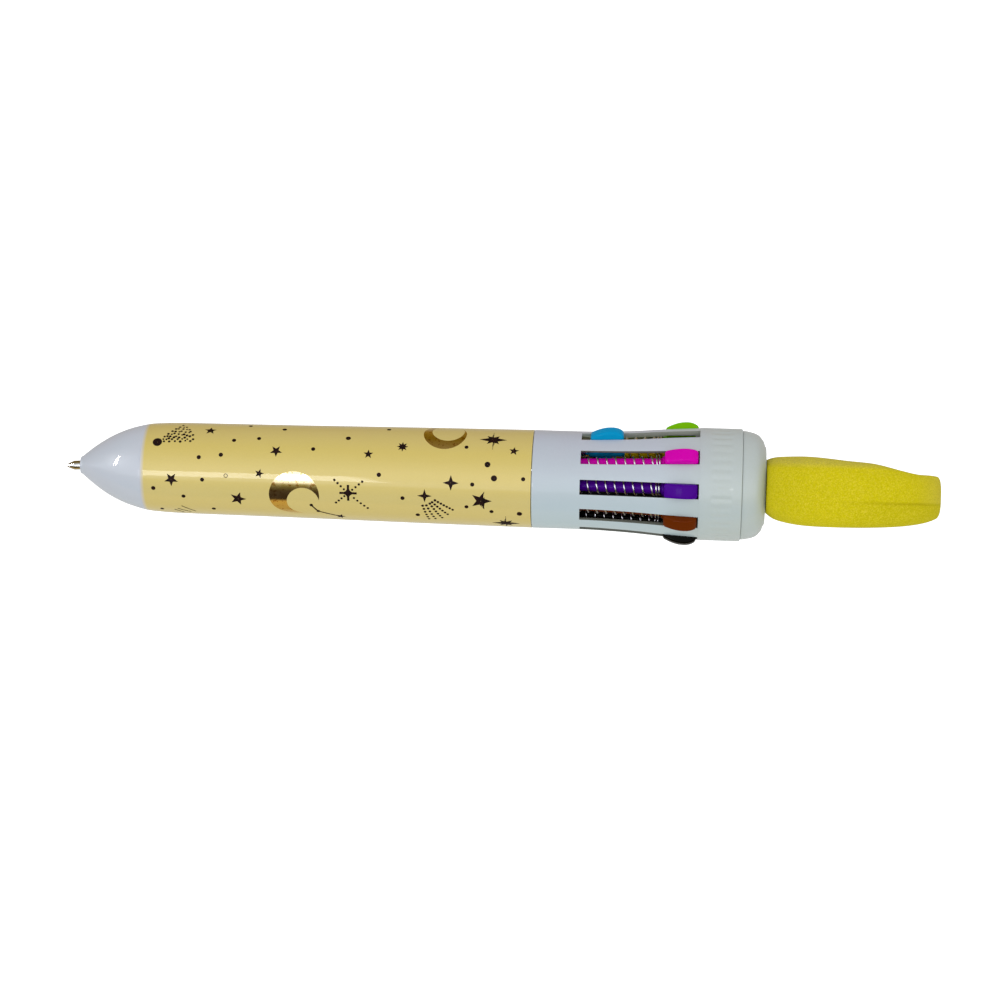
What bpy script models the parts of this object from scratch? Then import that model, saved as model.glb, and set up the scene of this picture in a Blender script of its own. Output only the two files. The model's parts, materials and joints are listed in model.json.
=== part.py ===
"""Ten-colour click pen with a crescent-moon topper.

The pen lies along X, with its writing tip towards -X, its topper towards +X
and its middle at the origin. Ten coloured sliders stand in ten slots around
the rear housing. Each one pushes its own refill forward against a coil
spring. Here the blue slider is forward, so the blue tip stands out of the nose.

Sizes are in millimetres and MM turns them into metres. Radii are from the
pen's axis. An angle around the axis starts at -Y and grows towards -Z.
"""

import math

import bmesh
import bpy
from mathutils import Matrix, Vector

MM = 0.001

# Overall lengths along the pen.
TIP_X = -76.1
TOPPER_END_X = 76.1
NOSE_FRONT_X = -73.6
PRINT_FRONT_X = -61.9
SEAM_X = 5.9
SLOT_FRONT_X = 14.15
COLLAR_FRONT_X = 34.6
COLLAR_REAR_X = 41.8
CAP_REAR_X = 45.9

# Outer radii of the shells.
BARREL_REAR_R = 8.5
FILM_THICKNESS = 0.12
FILM_GAP = 0.05
COLLAR_R = 9.72

# Clearances: between fixed pieces, and between a slider and its slot.
GAP = 0.1
SLOT_WIDTH = 2.6
FIN_WIDTH = 2.4

# The ten sliders, in order around the pen.
COLOURS = ("green", "blue", "magenta", "purple", "brown", "black", "navy", "red", "orange", "yellow")
DEPLOYED = "blue"
FIRST_ANGLE = -99.8
ANGLE_STEP = 360.0 / len(COLOURS)
TRAVEL = 12.9

# A slider's track runs forward and a little inward, so that the refills close in on the nose.
TRACK_X = 28.7
TRACK_R = 6.8
TRACK_TILT = math.radians(3.5)
SLIDER_BODY_R = 1.4
SLIDER_SHOULDER = -0.5
SLIDER_REAR = 5.7
STEM_R = 1.0
STEM_FRONT = -20.7

# The housing's spigot in the barrel, guide plate, spring and core post.
SPIGOT_FRONT_X = -3.0
SPIGOT_R = 7.45
SPIGOT_BORE_R = 6.85
HOUSING_BORE_R = 7.95
PLATE_FRONT_X = 8.8
PLATE_REAR_X = 10.2
CORE_R = 3.3
CORE_PIN_R = 1.0
CORE_REAR_X = 37.2
WIRE_R = 0.15
COIL_R = 1.25
COIL_TURNS = 11
COIL_STEPS = 6

# Refill: a plastic tube with a metal writing tip, held on the slider's stem.
TUBE_R = 1.15
TUBE_BORE_R = 0.75
TUBE_START = 0.2
TIP_LENGTH = 10.6
TIP_PLUG_LENGTH = 3.0
EXIT_X = -72.9
TILT_IN = math.radians(0.8)
PIVOT_OUT_X = TRACK_X + (STEM_FRONT - TRAVEL) * math.cos(TRACK_TILT)
PIVOT_OUT_R = TRACK_R + (STEM_FRONT - TRAVEL) * math.sin(TRACK_TILT)
TILT_OUT = math.atan2(PIVOT_OUT_R, PIVOT_OUT_X - EXIT_X)
REFILL_LENGTH = (PIVOT_OUT_X - TIP_X) / math.cos(TILT_OUT)

# Topper: a puffy crescent, flat where it meets the cap. Its front and back faces are
# given as (x, z), level across the pen.
TOPPER_FOOT_X = CAP_REAR_X + GAP
TOPPER_R = 16.0
TOPPER_OPENING = math.radians(45.0)
TOPPER_REACH = math.radians(137.5)
TOPPER_ROUND_END = math.radians(4.0)
TOPPER_HOLLOW_R = 12.0
TOPPER_HOLLOW_SHIFT = 7.0
TOPPER_BACK_Z = -6.8
TOPPER_FRONT = ((46.2, 5.0), (53.5, 5.2), (59.8, 4.65), (64.1, 4.3), (69.1, 3.2), (71.5, 2.75), (76.2, 2.5))
TOPPER_BACK = (
    (46.2, -5.7),
    (49.8, -6.4),
    (52.0, TOPPER_BACK_Z),
    (63.0, TOPPER_BACK_Z),
    (68.5, -6.4),
    (76.2, -4.9),
)
PEG_R = 2.5
PEG_FRONT_X = 43.9
PEG_REAR_X = 53.8

# Smoothness of the round pieces.
SHELL_SEGMENTS = 40
SMALL_SEGMENTS = 10
SHARP_ANGLE = math.radians(35.0)

SLIDER_PAINT = {
    "green": (0.16, 0.44, 0.003),
    "blue": (0.001, 0.25, 0.48),
    "magenta": (0.59, 0.001, 0.37),
    "purple": (0.058, 0.0003, 0.22),
    "brown": (0.114, 0.017, 0.0005),
    "black": (0.004, 0.004, 0.003),
    "navy": (0.005, 0.02, 0.16),
    "red": (0.55, 0.01, 0.012),
    "orange": (0.8, 0.2, 0.01),
    "yellow": (0.75, 0.52, 0.01),
}


def clear_scene():
    for obj in list(bpy.data.objects):
        bpy.data.objects.remove(obj)


def new_collection(name):
    made = bpy.data.collections.new(name)
    bpy.context.scene.collection.children.link(made)
    return made


def new_material(name, colour, roughness, metallic=0.0):
    made = bpy.data.materials.new(name)
    made.use_nodes = True
    shader = made.node_tree.nodes["Principled BSDF"]
    shader.inputs["Base Color"].default_value = (*colour, 1.0)
    shader.inputs["Roughness"].default_value = roughness
    shader.inputs["Metallic"].default_value = metallic
    made.diffuse_color = (*colour, 1.0)
    return made


def add_object(name, mesh, material, collection):
    obj = bpy.data.objects.new(name, mesh)
    if material and not mesh.materials:
        mesh.materials.append(material)
    collection.objects.link(obj)
    return obj


def add_cutter(name, mesh, collection):
    obj = add_object(name, mesh, None, collection)
    obj.hide_render = True
    obj.display_type = "WIRE"
    return obj


def bake(obj):
    """Replaces an object's modifiers by the mesh they make, shaded smooth between sharp edges."""
    bpy.context.view_layer.update()
    graph = bpy.context.evaluated_depsgraph_get()
    mesh = bpy.data.meshes.new_from_object(obj.evaluated_get(graph))
    obj.modifiers.clear()
    obj.data = mesh
    mesh.shade_smooth()
    mesh.set_sharp_from_angle(angle=SHARP_ANGLE)
    return obj


def add_boolean(obj, other, operation):
    modifier = obj.modifiers.new(other.name, "BOOLEAN")
    modifier.operation = operation
    modifier.object = other


def turned(name, outline, material, collection, segments=SHELL_SEGMENTS, open_ends=False):
    """A body turned about X from (x, radius) points, listed anticlockwise with the radius up."""
    points = [(x * MM, 0.0, radius * MM) for x, radius in outline]
    edges = [(i, i + 1) for i in range(len(points) - 1)]
    if not open_ends:
        edges.append((len(points) - 1, 0))
    mesh = bpy.data.meshes.new(name)
    mesh.from_pydata(points, edges, [])
    obj = add_object(name, mesh, material, collection)
    screw = obj.modifiers.new("turn", "SCREW")
    screw.axis = "X"
    screw.steps = screw.render_steps = segments
    screw.use_merge_vertices = True
    screw.merge_threshold = 1e-6
    screw.use_normal_flip = True
    return obj


def lofted(name, rings, material, collection, joined=False):
    """A skin through rings of points, capped at its ends or, when joined, closed on itself."""
    count = len(rings[0])
    points = [Vector(point) * MM for ring in rings for point in ring]
    faces = []
    for i in range(len(rings) if joined else len(rings) - 1):
        here, there = i * count, (i + 1) % len(rings) * count
        for j in range(count):
            k = (j + 1) % count
            faces.append((here + j, here + k, there + k, there + j))
    if not joined:
        faces.append(tuple(range(count)))
        faces.append(tuple(range(len(points) - count, len(points))))
    mesh = bpy.data.meshes.new(name)
    mesh.from_pydata(points, [], faces)
    work = bmesh.new()
    work.from_mesh(mesh)
    bmesh.ops.recalc_face_normals(work, faces=work.faces)
    work.to_mesh(mesh)
    work.free()
    return add_object(name, mesh, material, collection)


def mesh_of_rods(name, rods, segments):
    """One mesh of separate rods along their local X: (matrix, start, end, radius) each."""
    work = bmesh.new()
    for matrix, start, end, radius in rods:
        middle = Matrix.Translation(((start + end) / 2 * MM, 0, 0))
        place = matrix @ middle @ Matrix.Rotation(math.pi / 2, 4, "Y")
        bmesh.ops.create_cone(
            work,
            cap_ends=True,
            segments=segments,
            radius1=radius * MM,
            radius2=radius * MM,
            depth=(end - start) * MM,
            matrix=place,
        )
    mesh = bpy.data.meshes.new(name)
    work.to_mesh(mesh)
    work.free()
    return mesh


def mesh_of_boxes(name, boxes):
    """One mesh of separate boxes: (matrix, lowest corner, highest corner) each."""
    work = bmesh.new()
    for matrix, low, high in boxes:
        low, high = Vector(low) * MM, Vector(high) * MM
        size = Matrix.Diagonal((*(high - low), 1.0))
        bmesh.ops.create_cube(work, size=1.0, matrix=matrix @ Matrix.Translation((low + high) / 2) @ size)
    mesh = bpy.data.meshes.new(name)
    work.to_mesh(mesh)
    work.free()
    return mesh


def mesh_of_plate(name, outline, thickness):
    """A plate with its outline in the XZ plane, centred on Y = 0."""
    curve = bpy.data.curves.new(name, "CURVE")
    curve.dimensions = "2D"
    curve.fill_mode = "BOTH"
    curve.extrude = thickness / 2 * MM
    spline = curve.splines.new("POLY")
    spline.points.add(len(outline) - 1)
    for point, (x, z) in zip(spline.points, outline):
        point.co = (x * MM, z * MM, 0.0, 1.0)
    spline.use_cyclic_u = True
    obj = bpy.data.objects.new(name, curve)
    bpy.context.scene.collection.objects.link(obj)
    bpy.context.view_layer.update()
    graph = bpy.context.evaluated_depsgraph_get()
    mesh = bpy.data.meshes.new_from_object(obj.evaluated_get(graph))
    bpy.data.objects.remove(obj)
    work = bmesh.new()
    work.from_mesh(mesh)
    bmesh.ops.remove_doubles(work, verts=work.verts, dist=1e-6)
    bmesh.ops.rotate(work, verts=work.verts, cent=(0, 0, 0), matrix=Matrix.Rotation(math.pi / 2, 3, "X"))
    bmesh.ops.recalc_face_normals(work, faces=work.faces)
    work.to_mesh(mesh)
    work.free()
    return mesh


def slot_matrix(index):
    """Turns +Z, the direction out of a slot, to the slot's place around the pen."""
    return Matrix.Rotation(math.radians(FIRST_ANGLE + ANGLE_STEP * index + 90.0), 4, "X")


def track_matrix(index):
    """The frame of a slider's track: -X runs forward along it, +Z points out of the slot."""
    start = Matrix.Translation((TRACK_X * MM, 0, TRACK_R * MM))
    return slot_matrix(index) @ start @ Matrix.Rotation(-TRACK_TILT, 4, "Y")


def printed_profile():
    """The outside of the film-covered part of the barrel, front to rear."""
    return [
        (PRINT_FRONT_X, 7.48),
        (-61.2, 7.62),
        (-59.0, 7.82),
        (-56.0, 7.91),
        (-35.0, 8.07),
        (-12.0, 8.35),
        (SEAM_X - GAP, BARREL_REAR_R),
    ]


def make_barrel(material, parts):
    """The front barrel and its nose in one piece, open at the tip and at the rear."""
    sunk = FILM_THICKNESS + FILM_GAP
    nose = [
        (NOSE_FRONT_X, 1.0),
        (NOSE_FRONT_X, 1.3),
        (-73.2, 1.65),
        (-72.1, 2.6),
        (-70.7, 3.65),
        (-69.3, 4.6),
        (-67.9, 5.4),
        (-66.5, 6.07),
        (-65.1, 6.63),
        (-63.7, 7.05),
        (-62.6, 7.33),
        (PRINT_FRONT_X - FILM_GAP, 7.46),
    ]
    under_film = [(x, radius - sunk) for x, radius in printed_profile()]
    under_film[0] = (PRINT_FRONT_X - FILM_GAP, under_film[0][1])
    spigot_bore_r = SPIGOT_R + 0.15
    spigot_end_x = SPIGOT_FRONT_X - 0.2
    inside = [
        (SEAM_X - GAP, spigot_bore_r),
        (spigot_end_x, spigot_bore_r),
        (spigot_end_x, 7.1),
        (-50.0, 6.6),
        (-60.0, 6.2),
        (-66.0, 5.1),
        (-68.5, 4.0),
        (-71.0, 2.3),
        (-72.3, 1.0),
    ]
    return bake(turned("barrel", nose + under_film + inside, material, parts))


def make_film(material, parts):
    """The printed film around the straight part of the barrel."""
    outside = printed_profile()
    inside = [(x, radius - FILM_THICKNESS) for x, radius in reversed(outside)]
    return bake(turned("printed_film", outside + inside, material, parts))


def make_housing(material, parts, cutters):
    """A thin-walled tube with ten slots, open at the rear, where the collar closes them."""
    finger_r = 8.5
    finger_rear_x = 41.0
    outline = [
        (SPIGOT_FRONT_X, SPIGOT_BORE_R),
        (SPIGOT_FRONT_X, SPIGOT_R),
        (SEAM_X, SPIGOT_R),
        (SEAM_X, BARREL_REAR_R),
        (16.0, 8.5),
        (22.5, 8.8),
        (26.0, 9.06),
        (28.5, 9.3),
        (COLLAR_FRONT_X - GAP, 9.66),
        (COLLAR_FRONT_X - GAP, finger_r),
        (finger_rear_x, finger_r),
        (finger_rear_x, HOUSING_BORE_R),
        (34.2, HOUSING_BORE_R),
        (33.6, 8.7),
        (28.5, 8.55),
        (22.5, 8.15),
        (16.0, HOUSING_BORE_R),
        (PLATE_FRONT_X - GAP, HOUSING_BORE_R),
        (PLATE_FRONT_X - GAP, SPIGOT_BORE_R),
    ]
    housing = turned("housing", outline, material, parts)
    half = SLOT_WIDTH / 2
    low = (SLOT_FRONT_X, -half, HOUSING_BORE_R - 0.7)
    high = (finger_rear_x + 1.4, half, COLLAR_R + 2.0)
    slots = [(slot_matrix(i), low, high) for i in range(len(COLOURS))]
    cutter = add_cutter("slot_cutter", mesh_of_boxes("slot_cutter", slots), cutters)
    add_boolean(housing, cutter, "DIFFERENCE")
    return bake(housing)


def make_guide_plate(material, parts, cutters):
    """A disc that the stems run through and the springs push on."""
    rim_r = HOUSING_BORE_R - GAP
    bore_r = CORE_PIN_R + 0.2
    outline = [
        (PLATE_FRONT_X, bore_r),
        (PLATE_FRONT_X, rim_r),
        (PLATE_REAR_X, rim_r),
        (PLATE_REAR_X, bore_r),
    ]
    plate = turned("guide_plate", outline, material, parts)
    front, rear = PLATE_FRONT_X - TRACK_X - 4.6, PLATE_REAR_X - TRACK_X + 4.0
    rods = [(track_matrix(i), front, rear, STEM_R + 0.2) for i in range(len(COLOURS))]
    holes = add_cutter("stem_holes", mesh_of_rods("stem_holes", rods, SMALL_SEGMENTS), cutters)
    add_boolean(plate, holes, "DIFFERENCE")
    return bake(plate)


def make_core(material, parts):
    """The central post, with a flute facing each slider and a pin through the guide plate."""
    pin_front_x = PLATE_FRONT_X - 0.8
    post_front_x = PLATE_REAR_X + 0.2
    flute_r = CORE_R - 0.4
    rings = []
    for x, ridge, flute in (
        (pin_front_x, CORE_PIN_R - 0.2, CORE_PIN_R - 0.2),
        (pin_front_x + 0.3, CORE_PIN_R, CORE_PIN_R),
        (post_front_x, CORE_PIN_R, CORE_PIN_R),
        (post_front_x, CORE_R, flute_r),
        (CORE_REAR_X, CORE_R, flute_r),
    ):
        ring = []
        for j in range(2 * len(COLOURS)):
            angle = math.radians(FIRST_ANGLE + ANGLE_STEP / 2 * j)
            radius = ridge if j % 2 else flute
            ring.append((x, -radius * math.cos(angle), -radius * math.sin(angle)))
        rings.append(ring)
    return lofted("core_post", rings, material, parts)


def make_collar(material, parts):
    """The ring over the slots' open ends, with fine ribs around its rear part."""
    ribs = 36
    rib_depth = 0.1
    bore_r = 8.6
    steps = 2 * ribs
    rings = []
    for x, radius, depth in (
        (COLLAR_FRONT_X, bore_r, 0.0),
        (COLLAR_FRONT_X, COLLAR_R - 0.02, 0.0),
        (36.2, COLLAR_R, 0.0),
        (36.4, COLLAR_R, rib_depth),
        (40.2, COLLAR_R, rib_depth),
        (40.4, COLLAR_R, 0.0),
        (COLLAR_REAR_X - 0.2, COLLAR_R, 0.0),
        (COLLAR_REAR_X, COLLAR_R - 0.2, 0.0),
        (COLLAR_REAR_X, bore_r, 0.0),
    ):
        ring = []
        for j in range(steps):
            angle = 2 * math.pi * j / steps
            here = radius - (depth if j % 2 else 0.0)
            ring.append((x, -here * math.cos(angle), -here * math.sin(angle)))
        rings.append(ring)
    return lofted("ribbed_collar", rings, material, parts, joined=True)


def make_end_cap(material, parts):
    """A plug in the rear of the housing, with a rounded shoulder and a nearly flat end."""
    plug_r = HOUSING_BORE_R - GAP
    plug_front_x = CORE_REAR_X - 2.2
    socket_end_x = CORE_REAR_X + 0.2
    seat_x = COLLAR_REAR_X + GAP
    outline = [
        (plug_front_x, CORE_R + GAP),
        (plug_front_x, plug_r),
        (seat_x, plug_r),
        (seat_x, 9.42),
        (42.6, 9.35),
        (43.3, 9.2),
        (44.0, 9.02),
        (44.5, 8.82),
        (44.9, 8.55),
        (45.25, 8.15),
        (45.55, 7.55),
        (45.75, 6.8),
        (45.87, 5.8),
        (CAP_REAR_X, 4.6),
        (CAP_REAR_X, PEG_R + GAP),
        (PEG_FRONT_X - GAP, PEG_R + GAP),
        (PEG_FRONT_X - GAP, 1.0),
        (socket_end_x, 1.0),
        (socket_end_x, CORE_R + GAP),
    ]
    return bake(turned("end_cap", outline, material, parts))


def make_peg(material, parts):
    """The chamfered peg that joins the cap and the topper."""
    chamfer = 0.6
    outline = [
        (PEG_FRONT_X, 0.0),
        (PEG_FRONT_X, PEG_R),
        (PEG_REAR_X - chamfer, PEG_R),
        (PEG_REAR_X, PEG_R - chamfer),
        (PEG_REAR_X, 0.0),
    ]
    return bake(turned("topper_peg", outline, material, parts, segments=20, open_ends=True))


def between(knots, x):
    """The value at x on the broken line through (x, value) knots."""
    for (x0, value0), (x1, value1) in zip(knots, knots[1:]):
        if x <= x1:
            return value0 + (value1 - value0) * max(0.0, x - x0) / (x1 - x0)
    return knots[-1][1]


def topper_half_width(turn):
    """Half the crescent's width: the outer circle less a smaller one shifted towards the opening."""
    shift = TOPPER_HOLLOW_SHIFT
    inner = math.sqrt(TOPPER_HOLLOW_R**2 - (shift * math.sin(turn)) ** 2) - shift * math.cos(turn)
    return 0.9 + 0.45 * max(0.0, TOPPER_R - inner)


def topper_section(turn):
    """The closed section of the crescent at an angle from the middle of its belly."""
    corners = 16
    squareness = 0.55
    middle_z = -1.2
    centre_x = TOPPER_END_X - TOPPER_R
    angle = TOPPER_OPENING + math.pi + turn
    into_end = max(0.0, abs(turn) - (TOPPER_REACH - TOPPER_ROUND_END)) / TOPPER_ROUND_END
    shrink = 1.0 - 0.55 * into_end**3
    half_width = topper_half_width(turn)
    section = []
    for j in range(corners):
        around = 2 * math.pi * (j + 0.5) / corners
        across = math.copysign(min(1.0, 1.02 * abs(math.cos(around)) ** squareness), math.cos(around))
        up = math.copysign(min(1.0, 1.04 * abs(math.sin(around)) ** squareness), math.sin(around))
        radius = TOPPER_R - half_width * (1.0 - across * shrink)
        x = centre_x + radius * math.cos(angle)
        y = radius * math.sin(angle)
        face_z = between(TOPPER_FRONT if up > 0 else TOPPER_BACK, x)
        half = abs(face_z - middle_z)
        section.append((max(x, TOPPER_FOOT_X), y, middle_z + half * up * shrink))
    return section


def make_topper(material, parts, cutters):
    """The crescent, with a blind socket for the peg."""
    sections = 24
    even_reach = TOPPER_REACH - TOPPER_ROUND_END
    turns = [even_reach * (2.0 * i / sections - 1.0) for i in range(sections + 1)]
    for share in (0.6, 1.0):
        end = even_reach + TOPPER_ROUND_END * share
        turns = [-end, *turns, end]
    topper = lofted("topper", [topper_section(turn) for turn in turns], material, parts)
    rod = (Matrix.Identity(4), TOPPER_FOOT_X - 1.0, PEG_REAR_X + 0.2, PEG_R + GAP)
    socket = add_cutter("peg_socket", mesh_of_rods("peg_socket", [rod], 20), cutters)
    add_boolean(topper, socket, "DIFFERENCE")
    return bake(topper)


def fin_outline():
    """The side of a slider's fin: up the front, over the rounded crown, down the rear."""
    foot_z, front_z, rear_z = -0.4, 2.75, 2.8
    crown_x, crown_z = 3.1, 3.65
    points = [(0.0, foot_z), (0.0, front_z - 0.35)]
    for share in (0.03, 0.25, 0.5, 1.0):
        rise = 1.0 - (1.0 - share) ** 1.7
        points.append((crown_x * share, front_z + (crown_z - front_z) * rise))
    for share in (0.45, 0.75, 0.96):
        drop = (crown_z - rear_z) * share**3
        points.append((crown_x + (SLIDER_REAR - crown_x) * share, crown_z - drop))
    points += [(SLIDER_REAR, rear_z - 0.45), (SLIDER_REAR, foot_z)]
    return points


def slider_mesh(cutters):
    """Round body, fin, latch nib and stem, joined in one mesh with its origin on the track."""
    level = Matrix.Identity(4)
    spigot_r = 0.55
    sunk = 0.5
    body_rod = (level, SLIDER_SHOULDER, SLIDER_REAR, SLIDER_BODY_R)
    stem_rod = (level, STEM_FRONT, sunk, STEM_R)
    spigot_rod = (level, STEM_FRONT - 2.0, STEM_FRONT + sunk, spigot_r)
    nib_box = (level, (0.6, -0.4, -2.1), (3.4, 0.4, -0.9))
    body = add_cutter("body", mesh_of_rods("body", [body_rod], 16), cutters)
    fin = add_cutter("fin", mesh_of_plate("fin", fin_outline(), FIN_WIDTH), cutters)
    nib = add_cutter("nib", mesh_of_boxes("nib", [nib_box]), cutters)
    stem = add_cutter("stem", mesh_of_rods("stem", [stem_rod], SMALL_SEGMENTS), cutters)
    spigot = add_cutter("spigot", mesh_of_rods("spigot", [spigot_rod], 8), cutters)
    for tool in (fin, nib, stem, spigot):
        add_boolean(body, tool, "UNION")
    mesh = bake(body).data
    for tool in (fin, nib, stem, spigot, body):
        bpy.data.objects.remove(tool)
    mesh.name = "slider"
    return mesh


def make_spring(name, index, length, material, parts):
    """A coil along the track, from just behind the guide plate back towards the slider."""
    start = (PLATE_REAR_X + 0.3 - TRACK_X) / math.cos(TRACK_TILT)
    curve = bpy.data.curves.new(name, "CURVE")
    curve.dimensions = "3D"
    curve.bevel_depth = WIRE_R * MM
    curve.bevel_resolution = 0
    curve.use_fill_caps = True
    spline = curve.splines.new("POLY")
    count = COIL_TURNS * COIL_STEPS
    spline.points.add(count)
    for i, point in enumerate(spline.points):
        angle = 2 * math.pi * i / COIL_STEPS
        x = start + length * i / count
        point.co = (x * MM, COIL_R * math.cos(angle) * MM, COIL_R * math.sin(angle) * MM, 1.0)
    curve.materials.append(material)
    obj = bpy.data.objects.new(name, curve)
    parts.objects.link(obj)
    obj.matrix_world = track_matrix(index)
    return obj


def tube_mesh(material, parts):
    """The refill's tube, forward along -X from the pivot at its origin."""
    front = TIP_LENGTH - REFILL_LENGTH
    outline = [(front, TUBE_BORE_R), (front, TUBE_R), (-TUBE_START, TUBE_R), (-TUBE_START, TUBE_BORE_R)]
    tube = bake(turned("tube", outline, material, parts, segments=SMALL_SEGMENTS))
    mesh = tube.data
    bpy.data.objects.remove(tube)
    return mesh


def tip_mesh(material, parts):
    """The metal tip, from its plug in the tube to the ball, with its origin at the ball."""
    seat = TIP_LENGTH - GAP
    outline = [
        (0.0, 0.0),
        (0.0, 0.3),
        (0.3, 0.42),
        (1.2, 0.8),
        (8.4, 0.8),
        (9.2, TUBE_R),
        (seat, TUBE_R),
        (seat, 0.6),
        (seat + TIP_PLUG_LENGTH, 0.6),
        (seat + TIP_PLUG_LENGTH, 0.0),
    ]
    tip = bake(turned("tip", outline, material, parts, segments=SMALL_SEGMENTS, open_ends=True))
    mesh = tip.data
    bpy.data.objects.remove(tip)
    return mesh


def place(name, mesh, material, parts, parent, location, tilt=0.0):
    """A copy of a shared mesh with its own material, placed in its parent's frame."""
    obj = add_object(name, mesh, material, parts)
    obj.material_slots[0].link = "OBJECT"
    obj.material_slots[0].material = material
    obj.parent = parent
    obj.location = Vector(location) * MM
    obj.rotation_euler = (0.0, tilt, 0.0)
    return obj


def make_mechanism(parts, cutters, steel, tip_metal, tube_plastic):
    """The ten sliders, each with its spring and its refill."""
    slider = slider_mesh(cutters)
    slider.materials.clear()
    slider.materials.append(tube_plastic)
    tube = tube_mesh(tube_plastic, parts)
    tip = tip_mesh(tip_metal, parts)
    spring_room = (TRACK_X - PLATE_REAR_X) / math.cos(TRACK_TILT) + SLIDER_SHOULDER - 0.6
    for index, colour in enumerate(COLOURS):
        out = colour == DEPLOYED
        forward = TRAVEL if out else 0.0
        track = bpy.data.objects.new("track_" + colour, None)
        parts.objects.link(track)
        track.matrix_world = track_matrix(index)
        paint = new_material("slider_" + colour, SLIDER_PAINT[colour], 0.35)
        moved = place("slider_" + colour, slider, paint, parts, track, (-forward, 0, 0))
        lean = TRACK_TILT - (TILT_OUT if out else TILT_IN)
        held = place("refill_tube_" + colour, tube, tube_plastic, parts, moved, (STEM_FRONT, 0, 0), lean)
        place("refill_tip_" + colour, tip, tip_metal, parts, held, (-REFILL_LENGTH, 0, 0))
        make_spring("spring_" + colour, index, spring_room - forward, steel, parts)


def main():
    clear_scene()
    parts = new_collection("click_pen")
    cutters = new_collection("cutters")
    white = new_material("white_plastic", (0.51, 0.56, 0.6), 0.3)
    printed = new_material("printed_film", (0.65, 0.53, 0.2), 0.28)
    yellow_foam = new_material("topper_yellow", (0.63, 0.54, 0.02), 0.75)
    inner = new_material("inner_plastic", (0.03, 0.031, 0.034), 0.4)
    steel = new_material("spring_steel", (0.6, 0.6, 0.6), 0.25, 1.0)
    tip_metal = new_material("tip_metal", (0.62, 0.58, 0.5), 0.3, 1.0)
    tube_plastic = new_material("tube_plastic", (0.75, 0.75, 0.72), 0.35)
    make_barrel(white, parts)
    make_film(printed, parts)
    make_housing(white, parts, cutters)
    make_collar(white, parts)
    make_end_cap(white, parts)
    make_guide_plate(inner, parts, cutters)
    make_core(inner, parts)
    make_peg(inner, parts)
    make_topper(yellow_foam, parts, cutters)
    make_mechanism(parts, cutters, steel, tip_metal, tube_plastic)


main()
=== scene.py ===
"""Looks of the ten-colour click pen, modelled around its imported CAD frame.

Lengths in the helpers are millimetres, in the pen's own frame: X runs from the
writing tip to the topper, and an angle around the pen starts at -Y, the side
the camera sees, and grows towards -Z. MM turns millimetres into metres.
"""

import json
import math
import random

import bmesh
import bpy
import numpy as np
from mathutils import Matrix, Vector
from mathutils.bvhtree import BVHTree

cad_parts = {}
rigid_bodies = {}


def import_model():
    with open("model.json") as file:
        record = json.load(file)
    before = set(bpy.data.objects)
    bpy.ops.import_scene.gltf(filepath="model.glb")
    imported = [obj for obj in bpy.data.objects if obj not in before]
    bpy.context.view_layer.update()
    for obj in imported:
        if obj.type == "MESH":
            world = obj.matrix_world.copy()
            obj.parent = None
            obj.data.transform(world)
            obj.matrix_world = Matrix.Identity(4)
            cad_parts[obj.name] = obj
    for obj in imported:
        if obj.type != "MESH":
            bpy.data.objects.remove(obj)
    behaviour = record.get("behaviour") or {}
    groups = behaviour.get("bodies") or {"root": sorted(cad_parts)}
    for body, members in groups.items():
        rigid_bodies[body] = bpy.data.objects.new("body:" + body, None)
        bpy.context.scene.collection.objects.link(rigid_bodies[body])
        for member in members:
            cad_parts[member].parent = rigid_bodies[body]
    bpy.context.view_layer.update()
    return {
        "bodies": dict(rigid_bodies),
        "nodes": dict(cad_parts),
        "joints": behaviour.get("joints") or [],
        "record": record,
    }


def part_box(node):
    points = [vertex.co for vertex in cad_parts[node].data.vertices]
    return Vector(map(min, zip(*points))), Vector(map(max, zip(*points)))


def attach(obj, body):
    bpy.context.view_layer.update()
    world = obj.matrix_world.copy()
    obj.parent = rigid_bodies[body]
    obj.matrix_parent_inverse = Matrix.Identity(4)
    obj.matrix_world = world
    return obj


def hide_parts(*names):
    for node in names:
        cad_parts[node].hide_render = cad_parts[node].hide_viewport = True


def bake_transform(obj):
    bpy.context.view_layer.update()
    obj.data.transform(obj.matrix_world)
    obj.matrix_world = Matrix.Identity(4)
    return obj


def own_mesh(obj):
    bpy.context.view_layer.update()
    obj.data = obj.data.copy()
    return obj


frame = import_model()

MM = 0.001
REAR_BODY = "pen_rear"
FRONT_BODY = "front_barrel"
COLOURS = [name[len("slide_"):] for name in frame["bodies"] if name.startswith("slide_")]
JOINTS = {joint["name"]: joint for joint in frame["joints"]}
SLOT_COLOUR = {slot["slot"]: tuple(slot["base_color"][:3]) for slot in frame["record"]["materials"]}

# Radii inside the shells.
SPIGOT_R = 7.45
SPIGOT_BORE_R = 6.85
HOUSING_BORE_R = 7.95
CORE_R = 3.3

# How far from the axis a ray that reads a radius starts.
RAY_START = 40.0

# Fineness of the surfaces.
SHELL_STEPS = 160
ROD_STEPS = 32
PROFILE_STEP = 0.3
SHARP_ANGLE = math.radians(32.0)

# Slots and sliders, as cut in the CAD housing.
SLOT_WIDTH = 2.6
SLOT_FRONT_X = 14.15
FIN_WIDTH = 2.48
SLIDER_BODY_R = 1.4
STEM_R = 1.0
STEM_LENGTH = 20.7
KNOB_LENGTH = 5.7

# Coil springs.
COIL_R = 1.23
WIRE_R = 0.15
COIL_TURNS = 12.5
COIL_STEPS = 24

# Height of the crescent's parting line.
PARTING_Z = -2.3

# Finishes, as linear colours.
PEARL = (0.52, 0.57, 0.63)
# Pearl with painted light: brighter than PEARL, for the nose that faces the light. The film's front edge
# fades into it.
LIT_NOSE_PEARL = (0.588, 0.604, 0.68)
YELLOW = (0.7, 0.54, 0.136)
RUBBER = (0.69, 0.585, 0.002)

# Where the printed film starts.
FILM_FRONT_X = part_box("printed_film")[0][0] / MM

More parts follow.
